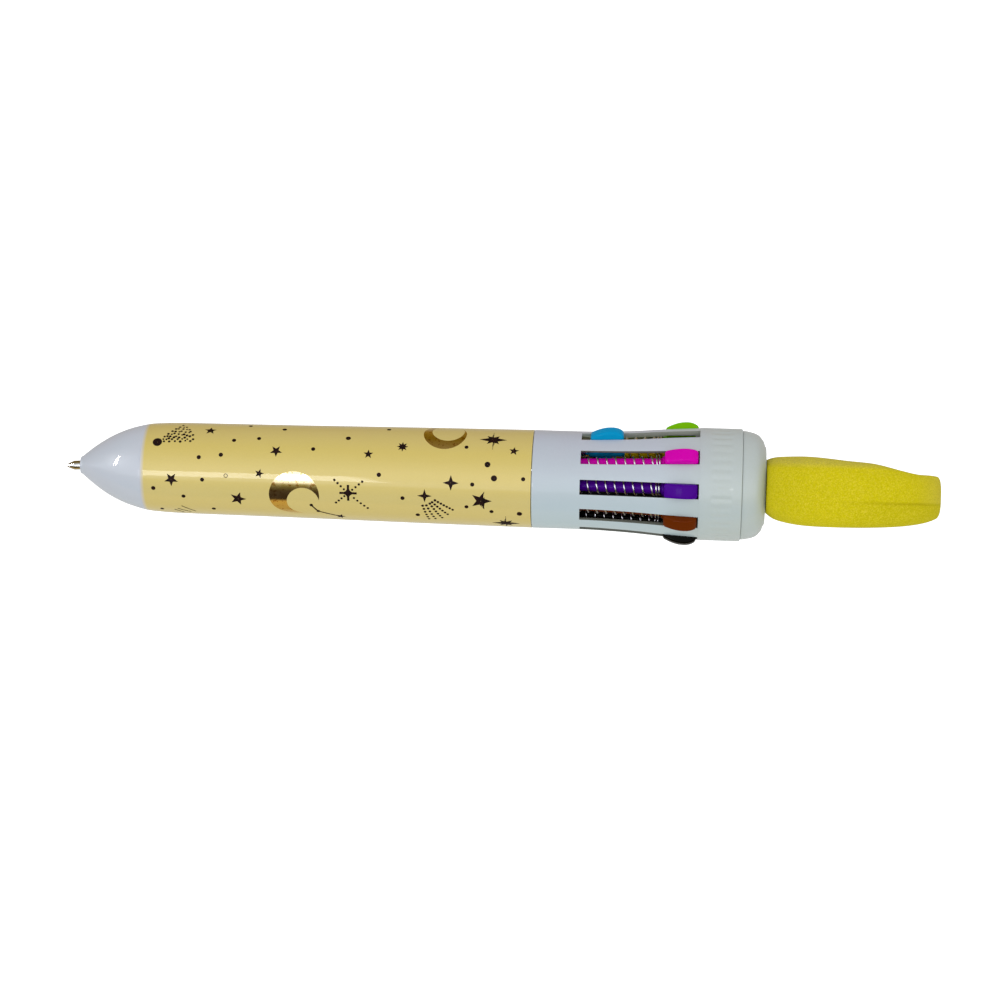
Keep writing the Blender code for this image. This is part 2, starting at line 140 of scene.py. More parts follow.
# Refills.
TUBE_R = 1.15
TUBE_BORE_R = 0.75
TIP_LENGTH = 10.6
NOZZLE_R = 0.8


def node_extent(node):
    """A CAD node's lowest and highest corners, in mm."""
    low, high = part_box(node)
    return Vector(low) / MM, Vector(high) / MM


def solid_tree(node):
    """A CAD node's solid in mm, ready for ray casts."""
    mesh = frame["nodes"][node].data
    faces = [list(face.vertices) for face in mesh.polygons]
    return BVHTree.FromPolygons([vertex.co / MM for vertex in mesh.vertices], faces)


def radius_probe(node):
    """A function from x to the outer radius of a turned CAD node, read from its solid along +Z."""
    tree = solid_tree(node)
    low, high = node_extent(node)
    margin, beside_edge = 0.02, 1e-4

    def radius(x):
        x = min(max(x, low.x + margin), high.x - margin)
        hit = tree.ray_cast(Vector((x, beside_edge, RAY_START)), Vector((0.0, 0.0, -1.0)))[0]
        return hit.z if hit else 0.0

    return radius


def smooth_profile(radius, start, end, window):
    """(x, radius) points from start to end, with the CAD's flat stretches averaged into curves."""
    count = max(2, int(abs(end - start) / PROFILE_STEP))
    offsets = [window * k / 4.0 for k in range(-4, 5)]
    low, high = min(start, end), max(start, end)
    points = []
    for i in range(count + 1):
        x = start + (end - start) * i / count
        reach = min(1.0, (x - low) / window, (high - x) / window)
        values = [radius(x + offset * reach) for offset in offsets]
        points.append((x, sum(values) / len(values)))
    return points


def rounded(outline, steps):
    """A closed outline of (x, y) or (x, y, fillet) corners, with an arc in place of each fillet."""
    points = []
    count = len(outline)
    for i, corner in enumerate(outline):
        here = Vector(corner[:2])
        fillet = corner[2] if len(corner) > 2 else 0.0
        back = Vector(outline[i - 1][:2]) - here
        ahead = Vector(outline[(i + 1) % count][:2]) - here
        if fillet <= 0.0:
            points.append(tuple(here))
            continue
        back.normalize()
        ahead.normalize()
        half = 0.5 * back.angle(ahead)
        reach = fillet / math.tan(half)
        middle = here + (back + ahead).normalized() * (fillet / math.sin(half))
        first, last = here + back * reach - middle, here + ahead * reach - middle
        sweep = math.atan2(first.x * last.y - first.y * last.x, first.dot(last))
        for k in range(steps + 1):
            turn = sweep * k / steps
            spoke = Matrix.Rotation(turn, 2) @ first
            points.append(tuple(middle + spoke))
    return points


def new_object(name, data, material=None):
    """An object in the scene for a mesh, a light or a camera."""
    obj = bpy.data.objects.new(name, data)
    bpy.context.scene.collection.objects.link(obj)
    if material is not None:
        data.materials.clear()
        data.materials.append(material)
    return obj


def shade(mesh):
    mesh.shade_smooth()
    mesh.set_sharp_from_angle(angle=SHARP_ANGLE)


def pen_point(x, radius, angle):
    """The point at x and at an angle around the pen."""
    return x, -radius * math.cos(angle), -radius * math.sin(angle)


def mesh_through(name, points, faces, merge_distance=None):
    """A smooth mesh through points in mm, with its faces turned outward and close points merged."""
    mesh = bpy.data.meshes.new(name)
    mesh.from_pydata([Vector(point) * MM for point in points], [], faces)
    work = bmesh.new()
    work.from_mesh(mesh)
    if merge_distance:
        bmesh.ops.remove_doubles(work, verts=work.verts, dist=merge_distance)
    bmesh.ops.recalc_face_normals(work, faces=work.faces)
    work.to_mesh(mesh)
    work.free()
    shade(mesh)
    return mesh


def skin(name, rings, joined=False):
    """A mesh through rings of points in mm, closed on itself when joined, else capped at both ends."""
    count = len(rings[0])
    points = [point for ring in rings for point in ring]
    faces = []
    for i in range(len(rings) if joined else len(rings) - 1):
        here, there = i * count, (i + 1) % len(rings) * count
        for j in range(count):
            k = (j + 1) % count
            faces.append((here + j, here + k, there + k, there + j))
    if not joined:
        faces.append(tuple(range(count)))
        faces.append(tuple(range(len(points) - count, len(points))))
    return mesh_through(name, points, faces, 1e-8)


def finished(name, work):
    """A mesh from a bmesh, which is freed."""
    mesh = bpy.data.meshes.new(name)
    work.to_mesh(mesh)
    work.free()
    return mesh


def add_block(work, low, high, place=Matrix()):
    """Adds to a bmesh a box between two corners in mm, in the frame that place gives."""
    low, high = Vector(low) * MM, Vector(high) * MM
    size = Matrix.Diagonal((*(high - low), 1.0))
    bmesh.ops.create_cube(work, size=1.0, matrix=place @ Matrix.Translation((low + high) / 2) @ size)


def circle(radius, count):
    """count points evenly around a circle."""
    angles = [2 * math.pi * k / count for k in range(count)]
    return [(radius * math.cos(angle), radius * math.sin(angle)) for angle in angles]


def ramp(value, start, end):
    """0 at start and 1 at end, level beyond them."""
    return min(1.0, max(0.0, (value - start) / (end - start)))


def lathe(name, outline, steps=SHELL_STEPS, wobble=None):
    """A mesh turned about X from a closed outline of (x, radius) points."""
    rings = []
    for i in range(steps):
        angle = 2 * math.pi * i / steps
        rings.append([pen_point(x, radius + (wobble(x, radius, angle) if wobble else 0.0), angle)
                      for x, radius in outline])
    return skin(name, rings, joined=True)


def evaluated(obj):
    """The mesh an object's modifiers make."""
    bpy.context.view_layer.update()
    graph = bpy.context.evaluated_depsgraph_get()
    return bpy.data.meshes.new_from_object(obj.evaluated_get(graph))


def combine(name, base, others, operation):
    """One mesh from a Boolean of a base mesh and other meshes."""
    body = new_object(name, base)
    helpers = []
    for i, mesh in enumerate(others):
        helper = new_object(f"{name}_helper_{i}", mesh)
        helpers.append(helper)
        modifier = body.modifiers.new("join", "BOOLEAN")
        modifier.operation = operation
        modifier.object = helper
    mesh = evaluated(body)
    for obj in (body, *helpers):
        bpy.data.objects.remove(obj)
    shade(mesh)
    return mesh


def put(name, mesh, material, body, node):
    """Adds a piece that stands for a CAD node, rides on its body and takes a finish slot."""
    obj = new_object(name, mesh, material)
    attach(obj, body)
    if node:
        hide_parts(node)
    return obj


# --- materials ---------------------------------------------------------------


def scaled(colour, factor):
    return tuple(min(1.0, channel * factor) for channel in colour)


def toned(colour, red, green, blue):
    """The colour with each channel multiplied by its own factor."""
    return colour[0] * red, colour[1] * green, colour[2] * blue


def vivid(colour):
    """The colour with most of its grey taken out, since gloss adds some back."""
    grey = 0.85 * min(colour)
    return tuple(channel - grey for channel in colour)


class Nodes:
    """A shader node tree that is built up one node at a time."""

    def __init__(self, tree):
        self.tree = tree

    def add(self, kind, **settings):
        node = self.tree.nodes.new(kind)
        for name, value in settings.items():
            setattr(node, name, value)
        return node

    def link(self, source, target):
        self.tree.links.new(source, target)

    def spread(self, source, low, high, start=0.3, end=0.7):
        """source between start and end, mapped to low and high."""
        node = self.add("ShaderNodeMapRange")
        for name, value in (("From Min", start), ("From Max", end), ("To Min", low), ("To Max", high)):
            node.inputs[name].default_value = value
        self.link(source, node.inputs["Value"])
        return node.outputs["Result"]

    def calculate(self, operation, first, second):
        """A Math node's result from a socket and a second socket or number."""
        node = self.add("ShaderNodeMath", operation=operation)
        self.link(first, node.inputs[0])
        if isinstance(second, float):
            node.inputs[1].default_value = second
        else:
            self.link(second, node.inputs[1])
        return node.outputs[0]

    def mix(self, factor, first, second):
        """first where factor is 0 and second where it is 1, each a socket or a colour."""
        node = self.add("ShaderNodeMix", data_type="RGBA")
        self.link(factor, node.inputs["Factor"])
        for name, value in (("A", first), ("B", second)):
            if isinstance(value, tuple):
                node.inputs[name].default_value = (*value, 1.0)
            else:
                self.link(value, node.inputs[name])
        return node.outputs["Result"]


    def colour_ramp(self, source, stops):
        """The colour at source on a ramp with these (position, colour) stops."""
        node = self.add("ShaderNodeValToRGB")
        elements = node.color_ramp.elements
        for element, (position, colour) in zip(elements, (stops[0], stops[-1])):
            element.position = position
            element.color = (*colour, 1.0)
        for position, colour in stops[1:-1]:
            elements.new(position).color = (*colour, 1.0)
        self.link(source, node.inputs["Fac"])
        return node.outputs["Color"]


class Shader(Nodes):
    """A Principled material, with tints, roughness and relief in the pen's own frame."""

    def __init__(self, name, colour, roughness, metallic=0.0):
        self.material = bpy.data.materials.new(name)
        self.material.use_nodes = True
        self.material.diffuse_color = (*colour, 1.0)
        super().__init__(self.material.node_tree)
        self.shader = self.tree.nodes["Principled BSDF"]
        self.set("Base Color", (*colour, 1.0))
        self.set("Roughness", roughness)
        self.set("Metallic", metallic)
        self.place = self.add("ShaderNodeTexCoord").outputs["Object"]
        self.colour = tuple(colour)
        self.height = None

    def set(self, name, value):
        self.shader.inputs[name].default_value = value

    def coat(self, weight, roughness):
        self.set("Coat Weight", weight)
        self.set("Coat Roughness", roughness)

    def glow(self, weight, red_mm, green_mm, blue_mm):
        """Lets light into the surface, each colour to its own depth."""
        self.set("Subsurface Weight", weight)
        self.set("Subsurface Radius", (red_mm * MM, green_mm * MM, blue_mm * MM))
        self.set("Subsurface Scale", 1.0)

    def noise(self, size_mm, detail, stretch=(1.0, 1.0, 1.0)):
        """Noise whose cells are about size_mm across, stretched along the axes."""
        mapping = self.add("ShaderNodeMapping")
        mapping.inputs["Scale"].default_value = stretch
        self.link(self.place, mapping.inputs["Vector"])
        node = self.add("ShaderNodeTexNoise")
        node.inputs["Scale"].default_value = 1.0 / (size_mm * MM)
        node.inputs["Detail"].default_value = detail
        self.link(mapping.outputs["Vector"], node.inputs["Vector"])
        return node.outputs["Fac"]

    def along(self, axis, start_mm, end_mm, most=1.0):
        """0 at start_mm and most at end_mm along an axis of the pen, level beyond them."""
        split = self.add("ShaderNodeSeparateXYZ")
        self.link(self.place, split.inputs["Vector"])
        return self.spread(split.outputs[axis], 0.0, most, start_mm * MM, end_mm * MM)

    def tint(self, factor, colour):
        """Mixes another colour over the base colour where factor is high."""
        self.colour = self.mix(factor, self.colour, colour)
        self.link(self.colour, self.shader.inputs["Base Color"])

    def mottle(self, size_mm, detail, most, colour, start=0.3, end=0.7):
        """Mixes in another colour by up to most, in patches of about size_mm."""
        self.tint(self.spread(self.noise(size_mm, detail), 0.0, most, start, end), colour)

    def vary_roughness(self, size_mm, detail, low, high):
        """Patches of lower and higher roughness, about size_mm across."""
        self.link(self.spread(self.noise(size_mm, detail), low, high), self.shader.inputs["Roughness"])

    def relief(self, size_mm, detail, depth_mm, strength, stretch=(1.0, 1.0, 1.0)):
        """Adds relief of about depth_mm, size_mm across, on top of any relief already there."""
        height = self.noise(size_mm, detail, stretch)
        node = self.add("ShaderNodeBump")
        node.inputs["Strength"].default_value = strength
        node.inputs["Distance"].default_value = depth_mm * MM
        self.link(height, node.inputs["Height"])
        if self.height is not None:
            self.link(self.height, node.inputs["Normal"])
        self.height = node.outputs["Normal"]
        self.link(self.height, self.shader.inputs["Normal"])


def moulded_plastic(name, colour, roughness, glow=0.0, coat=0.0, shine=0.3):
    """Glossy moulded plastic: faint cloudiness, orange peel and hairline handling marks."""
    made = Shader(name, colour, roughness)
    made.set("Specular IOR Level", shine)
    made.coat(coat, 0.08)
    if glow:
        made.glow(glow, 0.9, 0.8, 0.7)
    made.mottle(6.0, 2.0, 0.35, scaled(colour, 0.88))
    made.mottle(0.7, 4.0, 0.12, scaled(colour, 1.15))
    made.vary_roughness(2.5, 5.0, roughness * 0.8, roughness * 1.25)
    made.relief(1.6, 2.0, 0.012, 0.5)
    made.relief(0.25, 3.0, 0.004, 0.35, (0.15, 1.0, 1.0))
    return made.material


def pearl_plastic():
    """The cool white of the shells, creamier at the collar and cap, with painted light: lilac above and a
    little green below for the way light falls on top and underside, and a brighter nose for the light it
    faces.
    """
    made = Shader("pearl_white", PEARL, 0.4)
    made.set("Specular IOR Level", 0.35)
    made.coat(0.6, 0.02)
    made.glow(0.08, 0.8, 0.75, 0.7)
    # Painted light: a lilac, slightly darker top and a greener underside, for the way light falls on them.
    made.tint(made.along("Z", 0.0, 9.0), toned(PEARL, 1.0, 0.92, 0.98))
    made.tint(made.along("Z", 1.0, -8.0), toned(PEARL, 0.97, 1.09, 1.02))
    made.tint(made.along("X", 27.0, 38.0, 0.75), toned(PEARL, 1.0, 1.0, 0.82))
    # Painted light: the nose is brightened for the light it faces.
    made.tint(made.along("X", FILM_FRONT_X + 3.0, FILM_FRONT_X, 0.8), LIT_NOSE_PEARL)
    made.mottle(5.0, 2.0, 0.2, toned(PEARL, 0.94, 1.02, 1.0))
    made.mottle(0.4, 4.0, 0.2, scaled(PEARL, 1.08))
    made.vary_roughness(3.0, 5.0, 0.34, 0.48)
    made.relief(2.2, 2.0, 0.006, 0.5)
    made.relief(0.3, 3.0, 0.003, 0.4, (0.2, 1.0, 1.0))
    return made.material


def painted_shade_wall_material():
    """The housing's inner faces: white plastic in shade, lighter where light falls in from above."""
    in_shade, in_light = (0.17, 0.18, 0.15), (0.4, 0.42, 0.36)
    made = Shader("slot_wall_painted_shade", in_shade, 0.5)
    made.tint(made.along("Z", 5.5, 7.0), in_light)
    made.mottle(6.0, 2.0, 0.3, scaled(in_shade, 0.88))
    made.vary_roughness(2.5, 5.0, 0.4, 0.6)
    made.relief(1.6, 2.0, 0.012, 0.5)
    return made.material


def film_material():
    """Glossy printed film, warm yellow with a fine fleck and painted light on its top and underside, fading
    into the white nose in front.
    """
    made = Shader("yellow_film", YELLOW, 0.42)
    made.coat(0.9, 0.045)
    # Painted light: darker and bluer towards the top, bluer towards the underside, for the way light falls
    # there.
    made.tint(made.along("Z", 4.0, 8.2), toned(YELLOW, 0.95, 0.96, 1.5))
    made.tint(made.along("Z", -0.5, -4.0), toned(YELLOW, 1.0, 1.04, 1.45))
    made.mottle(7.0, 2.0, 0.16, toned(YELLOW, 0.96, 1.04, 1.12))
    made.mottle(0.12, 2.0, 0.22, scaled(YELLOW, 1.2), 0.45, 0.75)
    made.mottle(0.35, 4.0, 0.14, toned(YELLOW, 0.95, 0.92, 0.8))
    # The film's front edge fades into the nose's pearl, which carries painted light.
    made.tint(made.along("X", FILM_FRONT_X + 0.75, FILM_FRONT_X), LIT_NOSE_PEARL)
    made.vary_roughness(1.8, 5.0, 0.36, 0.5)
    made.relief(3.0, 2.0, 0.006, 0.5, (0.3, 1.0, 1.0))
    made.relief(0.15, 2.0, 0.002, 0.4)
    return made.material


def ink_print_material():
    """The near-black ink of the small prints, slightly purple-brown."""
    made = Shader("dark_print", (0.006, 0.004, 0.003), 0.5)
    made.set("Specular IOR Level", 0.1)
    made.mottle(0.5, 4.0, 0.5, (0.045, 0.008, 0.008))
    made.vary_roughness(0.6, 4.0, 0.42, 0.6)
    made.relief(0.2, 3.0, 0.003, 0.5)
    return made.material


def gold_foil_material():
    """Hot-stamped gold foil, mirror-like with fine pinholes and ripples."""
    made = Shader("gold_foil", (0.95, 0.84, 0.52), 0.1, 1.0)
    made.mottle(0.4, 5.0, 0.4, (0.8, 0.6, 0.25), 0.5, 0.75)
    made.mottle(0.5, 1.0, 0.75, (0.6, 0.33, 0.08), 0.62, 0.66)
    made.vary_roughness(0.8, 5.0, 0.06, 0.16)
    made.relief(0.7, 3.0, 0.003, 0.5)
    return made.material


def foam_material():
    """Soft matte rubber of the topper: fine grain, mottling and dusty high spots, with painted shade on its
    top face, at its far end and below its parting line, and a dark line of painted shade in the parting
    line's crease.
    """
    made = Shader("topper_rubber", RUBBER, 0.8)
    made.set("Specular IOR Level", 0.06)
    made.glow(0.1, 1.0, 0.8, 0.15)
    # Painted shade on the top face, which turns away from the light.
    made.tint(made.along("Z", 3.2, 4.1), (RUBBER[0] * 0.79, RUBBER[1] * 0.77, 0.075))
    # Painted shade darkening the far end of the crescent.
    made.tint(made.along("X", 71.0, 76.0), (RUBBER[0] * 0.94, RUBBER[1] * 0.9, 0.05))
    # Painted shade below the parting line towards the horns, where the side turns down.
    towards_horns = made.along("X", 57.0, 66.0)
    below = made.calculate("MULTIPLY", made.along("Z", -2.1, -2.5), towards_horns)
    made.tint(below, scaled(RUBBER, 0.86))
    made.mottle(4.5, 3.0, 0.3, toned(RUBBER, 0.9, 0.93, 1.2))
    made.mottle(0.32, 3.0, 0.55, scaled(RUBBER, 0.68))
    made.mottle(0.22, 2.0, 0.55, (RUBBER[0] * 1.3, RUBBER[1] * 1.25, 0.06), 0.45, 0.7)
    # Painted shade: a dark line in the parting line's crease.
    above_line, below_line = made.along("Z", -1.95, PARTING_Z), made.along("Z", -2.65, PARTING_Z, 0.6)
    line = made.calculate("MULTIPLY", above_line, below_line)
    made.tint(made.calculate("MULTIPLY", line, towards_horns), scaled(RUBBER, 0.7))
    made.vary_roughness(1.0, 4.0, 0.72, 0.9)
    made.relief(0.9, 3.0, 0.05, 0.6)
    made.relief(0.28, 3.0, 0.08, 1.0)
    return made.material


def wire_material():
    """Bright drawn spring wire, with faint patches of tarnish."""
    made = Shader("spring_wire", (0.9, 0.9, 0.95), 0.18, 1.0)
    made.mottle(0.8, 3.0, 0.4, (0.5, 0.49, 0.5))
    made.vary_roughness(0.3, 4.0, 0.14, 0.3)
    made.relief(0.08, 2.0, 0.002, 0.5)
    return made.material


def tip_material():
    """Turned nickel-silver with rings left by the lathe."""
    made = Shader("turned_metal", (0.72, 0.75, 0.76), 0.14, 1.0)
    made.mottle(1.5, 3.0, 0.4, (0.4, 0.39, 0.35))
    made.vary_roughness(0.5, 4.0, 0.1, 0.22)
    made.relief(0.3, 2.0, 0.002, 0.4, (1.0, 0.05, 0.05))
    return made.material


def tube_material():
    """Milky translucent refill tube."""
    made = Shader("milky_tube", SLOT_COLOUR["tube_plastic"], 0.3)
    made.set("Alpha", 0.5)
    made.mottle(3.0, 2.0, 0.3, (0.82, 0.82, 0.8))
    made.vary_roughness(1.0, 4.0, 0.22, 0.38)
    made.relief(0.3, 3.0, 0.003, 0.5, (0.1, 1.0, 1.0))
    return made.material


WHITE = pearl_plastic()
SLOT_WALL_PAINTED_SHADE = painted_shade_wall_material()
FILM = film_material()
PRINT = ink_print_material()
GOLD = gold_foil_material()
FOAM = foam_material()
WIRE = wire_material()
METAL = tip_material()
TUBE = tube_material()
# The inner plastic is dark so that the inside seen through the slots reads as shade: painted shade on the
# guide plate, core post and peg.
INNER = moulded_plastic("inner_plastic", SLOT_COLOUR["inner_plastic"], 0.42)


# --- shells ------------------------------------------------------------------


def make_barrel():
    """The white barrel in one piece with its nose, and the printed film over it."""
    barrel_low, barrel_high = node_extent("barrel")
    film_low, film_high = node_extent("printed_film")
    outer = radius_probe("barrel")
    film = radius_probe("printed_film")
    film_thickness = 0.12
    under = film_thickness + 0.05
    front, rear = barrel_low.x, barrel_high.x
    step = film_low.x - 0.01
    hole_r, mouth_r = 1.0, 1.5
    socket_r, socket_front = 7.6, -3.2
    mouth = [(front, hole_r, 0.12), (front, mouth_r, 0.25)]
    nose = smooth_profile(outer, front + 0.35, film_low.x - 0.1, 1.0)
    nose_r = nose[-1][1]
    covered = [(x, film(x) - under) for x in np.linspace(film_low.x + 0.3, rear - 0.1, 24)]
    socket = [(rear, socket_r, 0.1), (socket_front, socket_r)]
    bore = [(socket_front, 7.1), (-50.0, 6.6), (-60.0, 6.2), (-66.0, 5.1), (-68.5, 4.0), (-71.0, 2.3),
            (-72.3, hole_r, 0.3)]
    outline = rounded(mouth + nose + [(step, nose_r), (step, nose_r - under, 0.02)] + covered
                      + [(rear, film(rear) - under)] + socket + bore, 3)
    put("barrel_shell", lathe("barrel_shell", outline), WHITE, FRONT_BODY, "barrel")
    outside = smooth_profile(film, film_low.x, film_high.x, 2.5)
    inside = [(x, film(x) - film_thickness) for x in np.linspace(film_high.x, film_low.x, 24)]
    sleeve = lathe("film_sleeve", outside + inside)
    put("film_sleeve", sleeve, FILM, FRONT_BODY, "printed_film")
    return outside


def slot_centres():
    """The angle of each slot around the pen, read from where its refill hangs."""
    places = [JOINTS["bend_" + colour]["pos_m"] for colour in COLOURS]
    return [math.atan2(-z, -y) for _, y, z in places]


def slot_cutters(front, rear):
    """One mesh with a box for each slot."""
    half = SLOT_WIDTH / 2
    inner_r, outer_r = 7.2, 12.5
    work = bmesh.new()
    for angle in slot_centres():
        place = Matrix.Rotation(angle + math.pi / 2, 4, "X")
        add_block(work, (front, -half, inner_r), (rear, half, outer_r), place)
    return finished("slots", work)


def make_housing():
    """The thin-walled slotted rear housing, with softened slot edges."""
    low, high = node_extent("housing")
    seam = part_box("barrel")[1][0] / MM + 0.1
    collar_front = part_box("ribbed_collar")[0][0] / MM
    tree = solid_tree("housing")
    between = slot_centres()[0] + math.pi / len(COLOURS)
    spoke = Vector((0.0, -math.cos(between), -math.sin(between)))

    def finger_radius(x):
        x = min(max(x, seam + 0.02), collar_front - 0.15)
        hit = tree.ray_cast(Vector((x, 0, 0)) + spoke * RAY_START, -spoke)[0]
        return math.hypot(hit.y, hit.z)

    under_collar, tucked_r = collar_front - 0.02, 8.5
    bore_front = 8.7
    outside = smooth_profile(finger_radius, seam, under_collar, 2.0)
    spigot = [(low.x, SPIGOT_BORE_R, 0.1), (low.x, SPIGOT_R, 0.3), (seam, SPIGOT_R),
              (seam, outside[0][1], 0.1)]
    tucked = [(under_collar, tucked_r), (high.x, tucked_r, 0.1), (high.x, HOUSING_BORE_R, 0.1)]
    thin_wall = [(34.2, HOUSING_BORE_R), (33.6, 8.7), (28.5, 8.55), (22.5, 8.15), (16.0, HOUSING_BORE_R)]
    bore = [(bore_front, HOUSING_BORE_R), (bore_front, SPIGOT_BORE_R)]
    shell = lathe("housing", rounded(spigot + outside[1:] + tucked + thin_wall + bore, 3))
    mesh = combine("housing", shell, [slot_cutters(SLOT_FRONT_X, high.x + 1.0)], "DIFFERENCE")
    soften(mesh, 0.12, 3, (seam + 1.0) * MM, (collar_front - 0.3) * MM)
    put("slotted_housing", mesh, WHITE, REAR_BODY, "housing")
    # The inner faces beside the slots get the wall colour: painted shade, with painted light where light
    # falls in from above.
    mesh.materials.append(SLOT_WALL_PAINTED_SHADE)
    least_outward = 0.3
    for face in mesh.polygons:
        outward = Vector((0.0, face.center.y, face.center.z)).normalized()
        beside_slots = SLOT_FRONT_X * MM < face.center.x < collar_front * MM
        face.material_index = int(beside_slots and face.normal.dot(outward) < least_outward)


def soften(mesh, width_mm, segments, start, end):
    """Rounds a mesh's sharp edges that lie between two places along the pen."""
    sharp_angle = math.radians(40.0)
    work = bmesh.new()
    work.from_mesh(mesh)
    sharp = [edge for edge in work.edges
             if edge.is_manifold and edge.calc_face_angle() > sharp_angle
             and all(start < vertex.co.x < end for vertex in edge.verts)]
    bmesh.ops.bevel(work, geom=sharp, offset=width_mm * MM, segments=segments, profile=0.5, affect="EDGES",
                    clamp_overlap=True)
    work.to_mesh(mesh)
    work.free()
    shade(mesh)


def make_collar():
    """The collar, with thirty-six shallow ribs around its rear part."""
    low, high = node_extent("ribbed_collar")
    ribs, per_rib = 36, 10
    depth, run_out = 0.1, 0.6
    radius = high.z
    rib_start, rib_end = low.x + 1.7, high.x - 1.5

    def relief(x, at, angle):
        if at < radius - 0.3:
            return 0.0
        fade = min(ramp(x, rib_start, rib_start + run_out), ramp(x, rib_end, rib_end - run_out))
        wave = 0.5 - 0.5 * math.cos(angle * ribs)
        return -depth * fade * wave**1.5

    bore_r = 8.6
    lip = low.x - 0.12
    front = [(low.x, bore_r, 0.08), (low.x, radius - 0.12), (lip, radius - 0.08), (lip, radius - 0.03)]
    stations = [(x, radius) for x in np.linspace(low.x + 0.5, high.x - 0.3, 34)]
    rear = [(high.x, radius - 0.05, 0.14), (high.x, bore_r, 0.08)]
    mesh = lathe("collar", rounded(front + stations + rear, 4), ribs * per_rib, relief)
    put("ribbed_ring", mesh, WHITE, REAR_BODY, "ribbed_collar")


def make_end_cap():
    """The domed plug behind the collar."""
    low, high = node_extent("end_cap")
    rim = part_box("ribbed_collar")[1][0] / MM + 0.1
    radius = radius_probe("end_cap")
    dome = smooth_profile(radius, rim + 0.15, high.x - 0.15, 0.7)
    plug_r, shoulder = HOUSING_BORE_R - 0.1, rim - 0.05
    core_hole_r, core_hole_end = CORE_R + 0.1, 37.4
    peg_hole_r, peg_hole_front = 2.6, 43.8
    vent_r = 1.0
    plug = [(low.x, core_hole_r), (low.x, plug_r, 0.2), (shoulder, plug_r), (shoulder, dome[0][1], 0.06)]
    back = [(high.x, dome[-1][1] - 0.15, 0.1), (high.x, peg_hole_r, 0.1), (peg_hole_front, peg_hole_r)]
    bore = [(peg_hole_front, vent_r), (core_hole_end, vent_r), (core_hole_end, core_hole_r)]
    mesh = lathe("end_cap", rounded(plug + dome[1:] + back + bore, 4))
    put("domed_cap", mesh, WHITE, REAR_BODY, "end_cap")


def make_peg():
    """The pin that holds the topper on the cap."""
    low, high = node_extent("topper_peg")
    radius = high.z
    outline = rounded([(low.x, 0.0), (low.x, radius, 0.2), (high.x, radius, 0.6), (high.x, 0.0)], 4)
    put("peg", lathe("peg", outline, 48), INNER, REAR_BODY, "topper_peg")


def make_guide_plate():
    """The guide plate, with a rimmed hole for each stem."""
    low, high = node_extent("guide_plate")
    hole_r, edge_r = 1.2, high.z
    outline = rounded([(low.x, hole_r, 0.1), (low.x, edge_r, 0.15), (high.x, edge_r, 0.15),
                       (high.x, hole_r, 0.1)], 3)
    along_track = Matrix.Rotation(math.pi / 2, 4, "Y")
    holes = bmesh.new()
    for colour in COLOURS:
        bmesh.ops.create_cone(holes, cap_ends=True, segments=ROD_STEPS, depth=60.0 * MM,
                              radius1=hole_r * MM, radius2=hole_r * MM,
                              matrix=track_matrix(colour) @ along_track)
    cutter = finished("holes", holes)
    mesh = combine("guide_plate", lathe("guide_plate", outline, 120), [cutter], "DIFFERENCE")
    put("stem_guide", mesh, INNER, REAR_BODY, "guide_plate")


def make_core():
    """The centre post, with rounded flutes and a pin through the guide plate."""
    low, high = node_extent("core_post")
    steps = 120
    first = slot_centres()[0]
    pin_r, pin_end, post_r, chamfer = 1.0, 10.4, 3.25, 0.3
    stations = ((low.x, pin_r - chamfer, 0), (low.x + chamfer, pin_r, 0), (pin_end, pin_r, 0),
                (pin_end, post_r - 0.35, 0.1), (pin_end + chamfer, post_r, 0.4),
                (high.x - chamfer, post_r, 0.4), (high.x, post_r - 0.25, 0.3))
    rings = []
    for x, size, flute in stations:
        ring = []
        for j in range(steps):
            angle = 2 * math.pi * j / steps
            wave = 0.5 + 0.5 * math.cos(len(COLOURS) * (angle - first))
            ring.append(pen_point(x, size - flute * wave, angle))
        rings.append(ring)
    put("fluted_post", skin("core", rings), INNER, REAR_BODY, "core_post")


# --- sliders, springs and refills --------------------------------------------


def axes_matrix(origin, back, side, outward):
    """A frame with these X, Y and Z axes."""
    return Matrix.Translation(origin) @ Matrix((back, side, outward)).transposed().to_4x4()


def places_along(place, node):
    """How far back in a frame each corner of a CAD node lies, in mm."""
    back = place.inverted()
    return [(back @ vertex.co).x / MM for vertex in frame["nodes"][node].data.vertices]


def track_matrix(colour):
    """A slider's frame at rest: origin at its stem's front, +X back along the track, +Z out of its slot."""
    origin = Vector(JOINTS["bend_" + colour]["pos_m"])
    back = -Vector(JOINTS["slide_" + colour]["axis"]).normalized()
    outward = Vector((0.0, origin.y, origin.z))
    outward = (outward - outward.dot(back) * back).normalized()
    return axes_matrix(origin, back, outward.cross(back), outward)


def knob_outline():
    """Side view of a slider's fin: up the front, over the crown, down the rear."""
    front_z, crown_x, crown_z, rear_z = 2.75, 3.1, 3.65, 2.8
    steps = 12
    points = [(0.0, -0.4), (0.0, front_z - 0.35), (0.03, front_z - 0.12)]
    for k in range(1, steps + 1):
        share = k / steps
        rise = 1.0 - (1.0 - share) ** 1.7
        points.append((crown_x * share, front_z + (crown_z - front_z) * rise))
    for k in range(1, steps):
        share = k / steps
        drop = (crown_z - rear_z) * share**3
        points.append((crown_x + (KNOB_LENGTH - crown_x) * share, crown_z - drop))
    points += [(KNOB_LENGTH - 0.03, rear_z - 0.12), (KNOB_LENGTH, rear_z - 0.45), (KNOB_LENGTH, -0.4)]
    return points


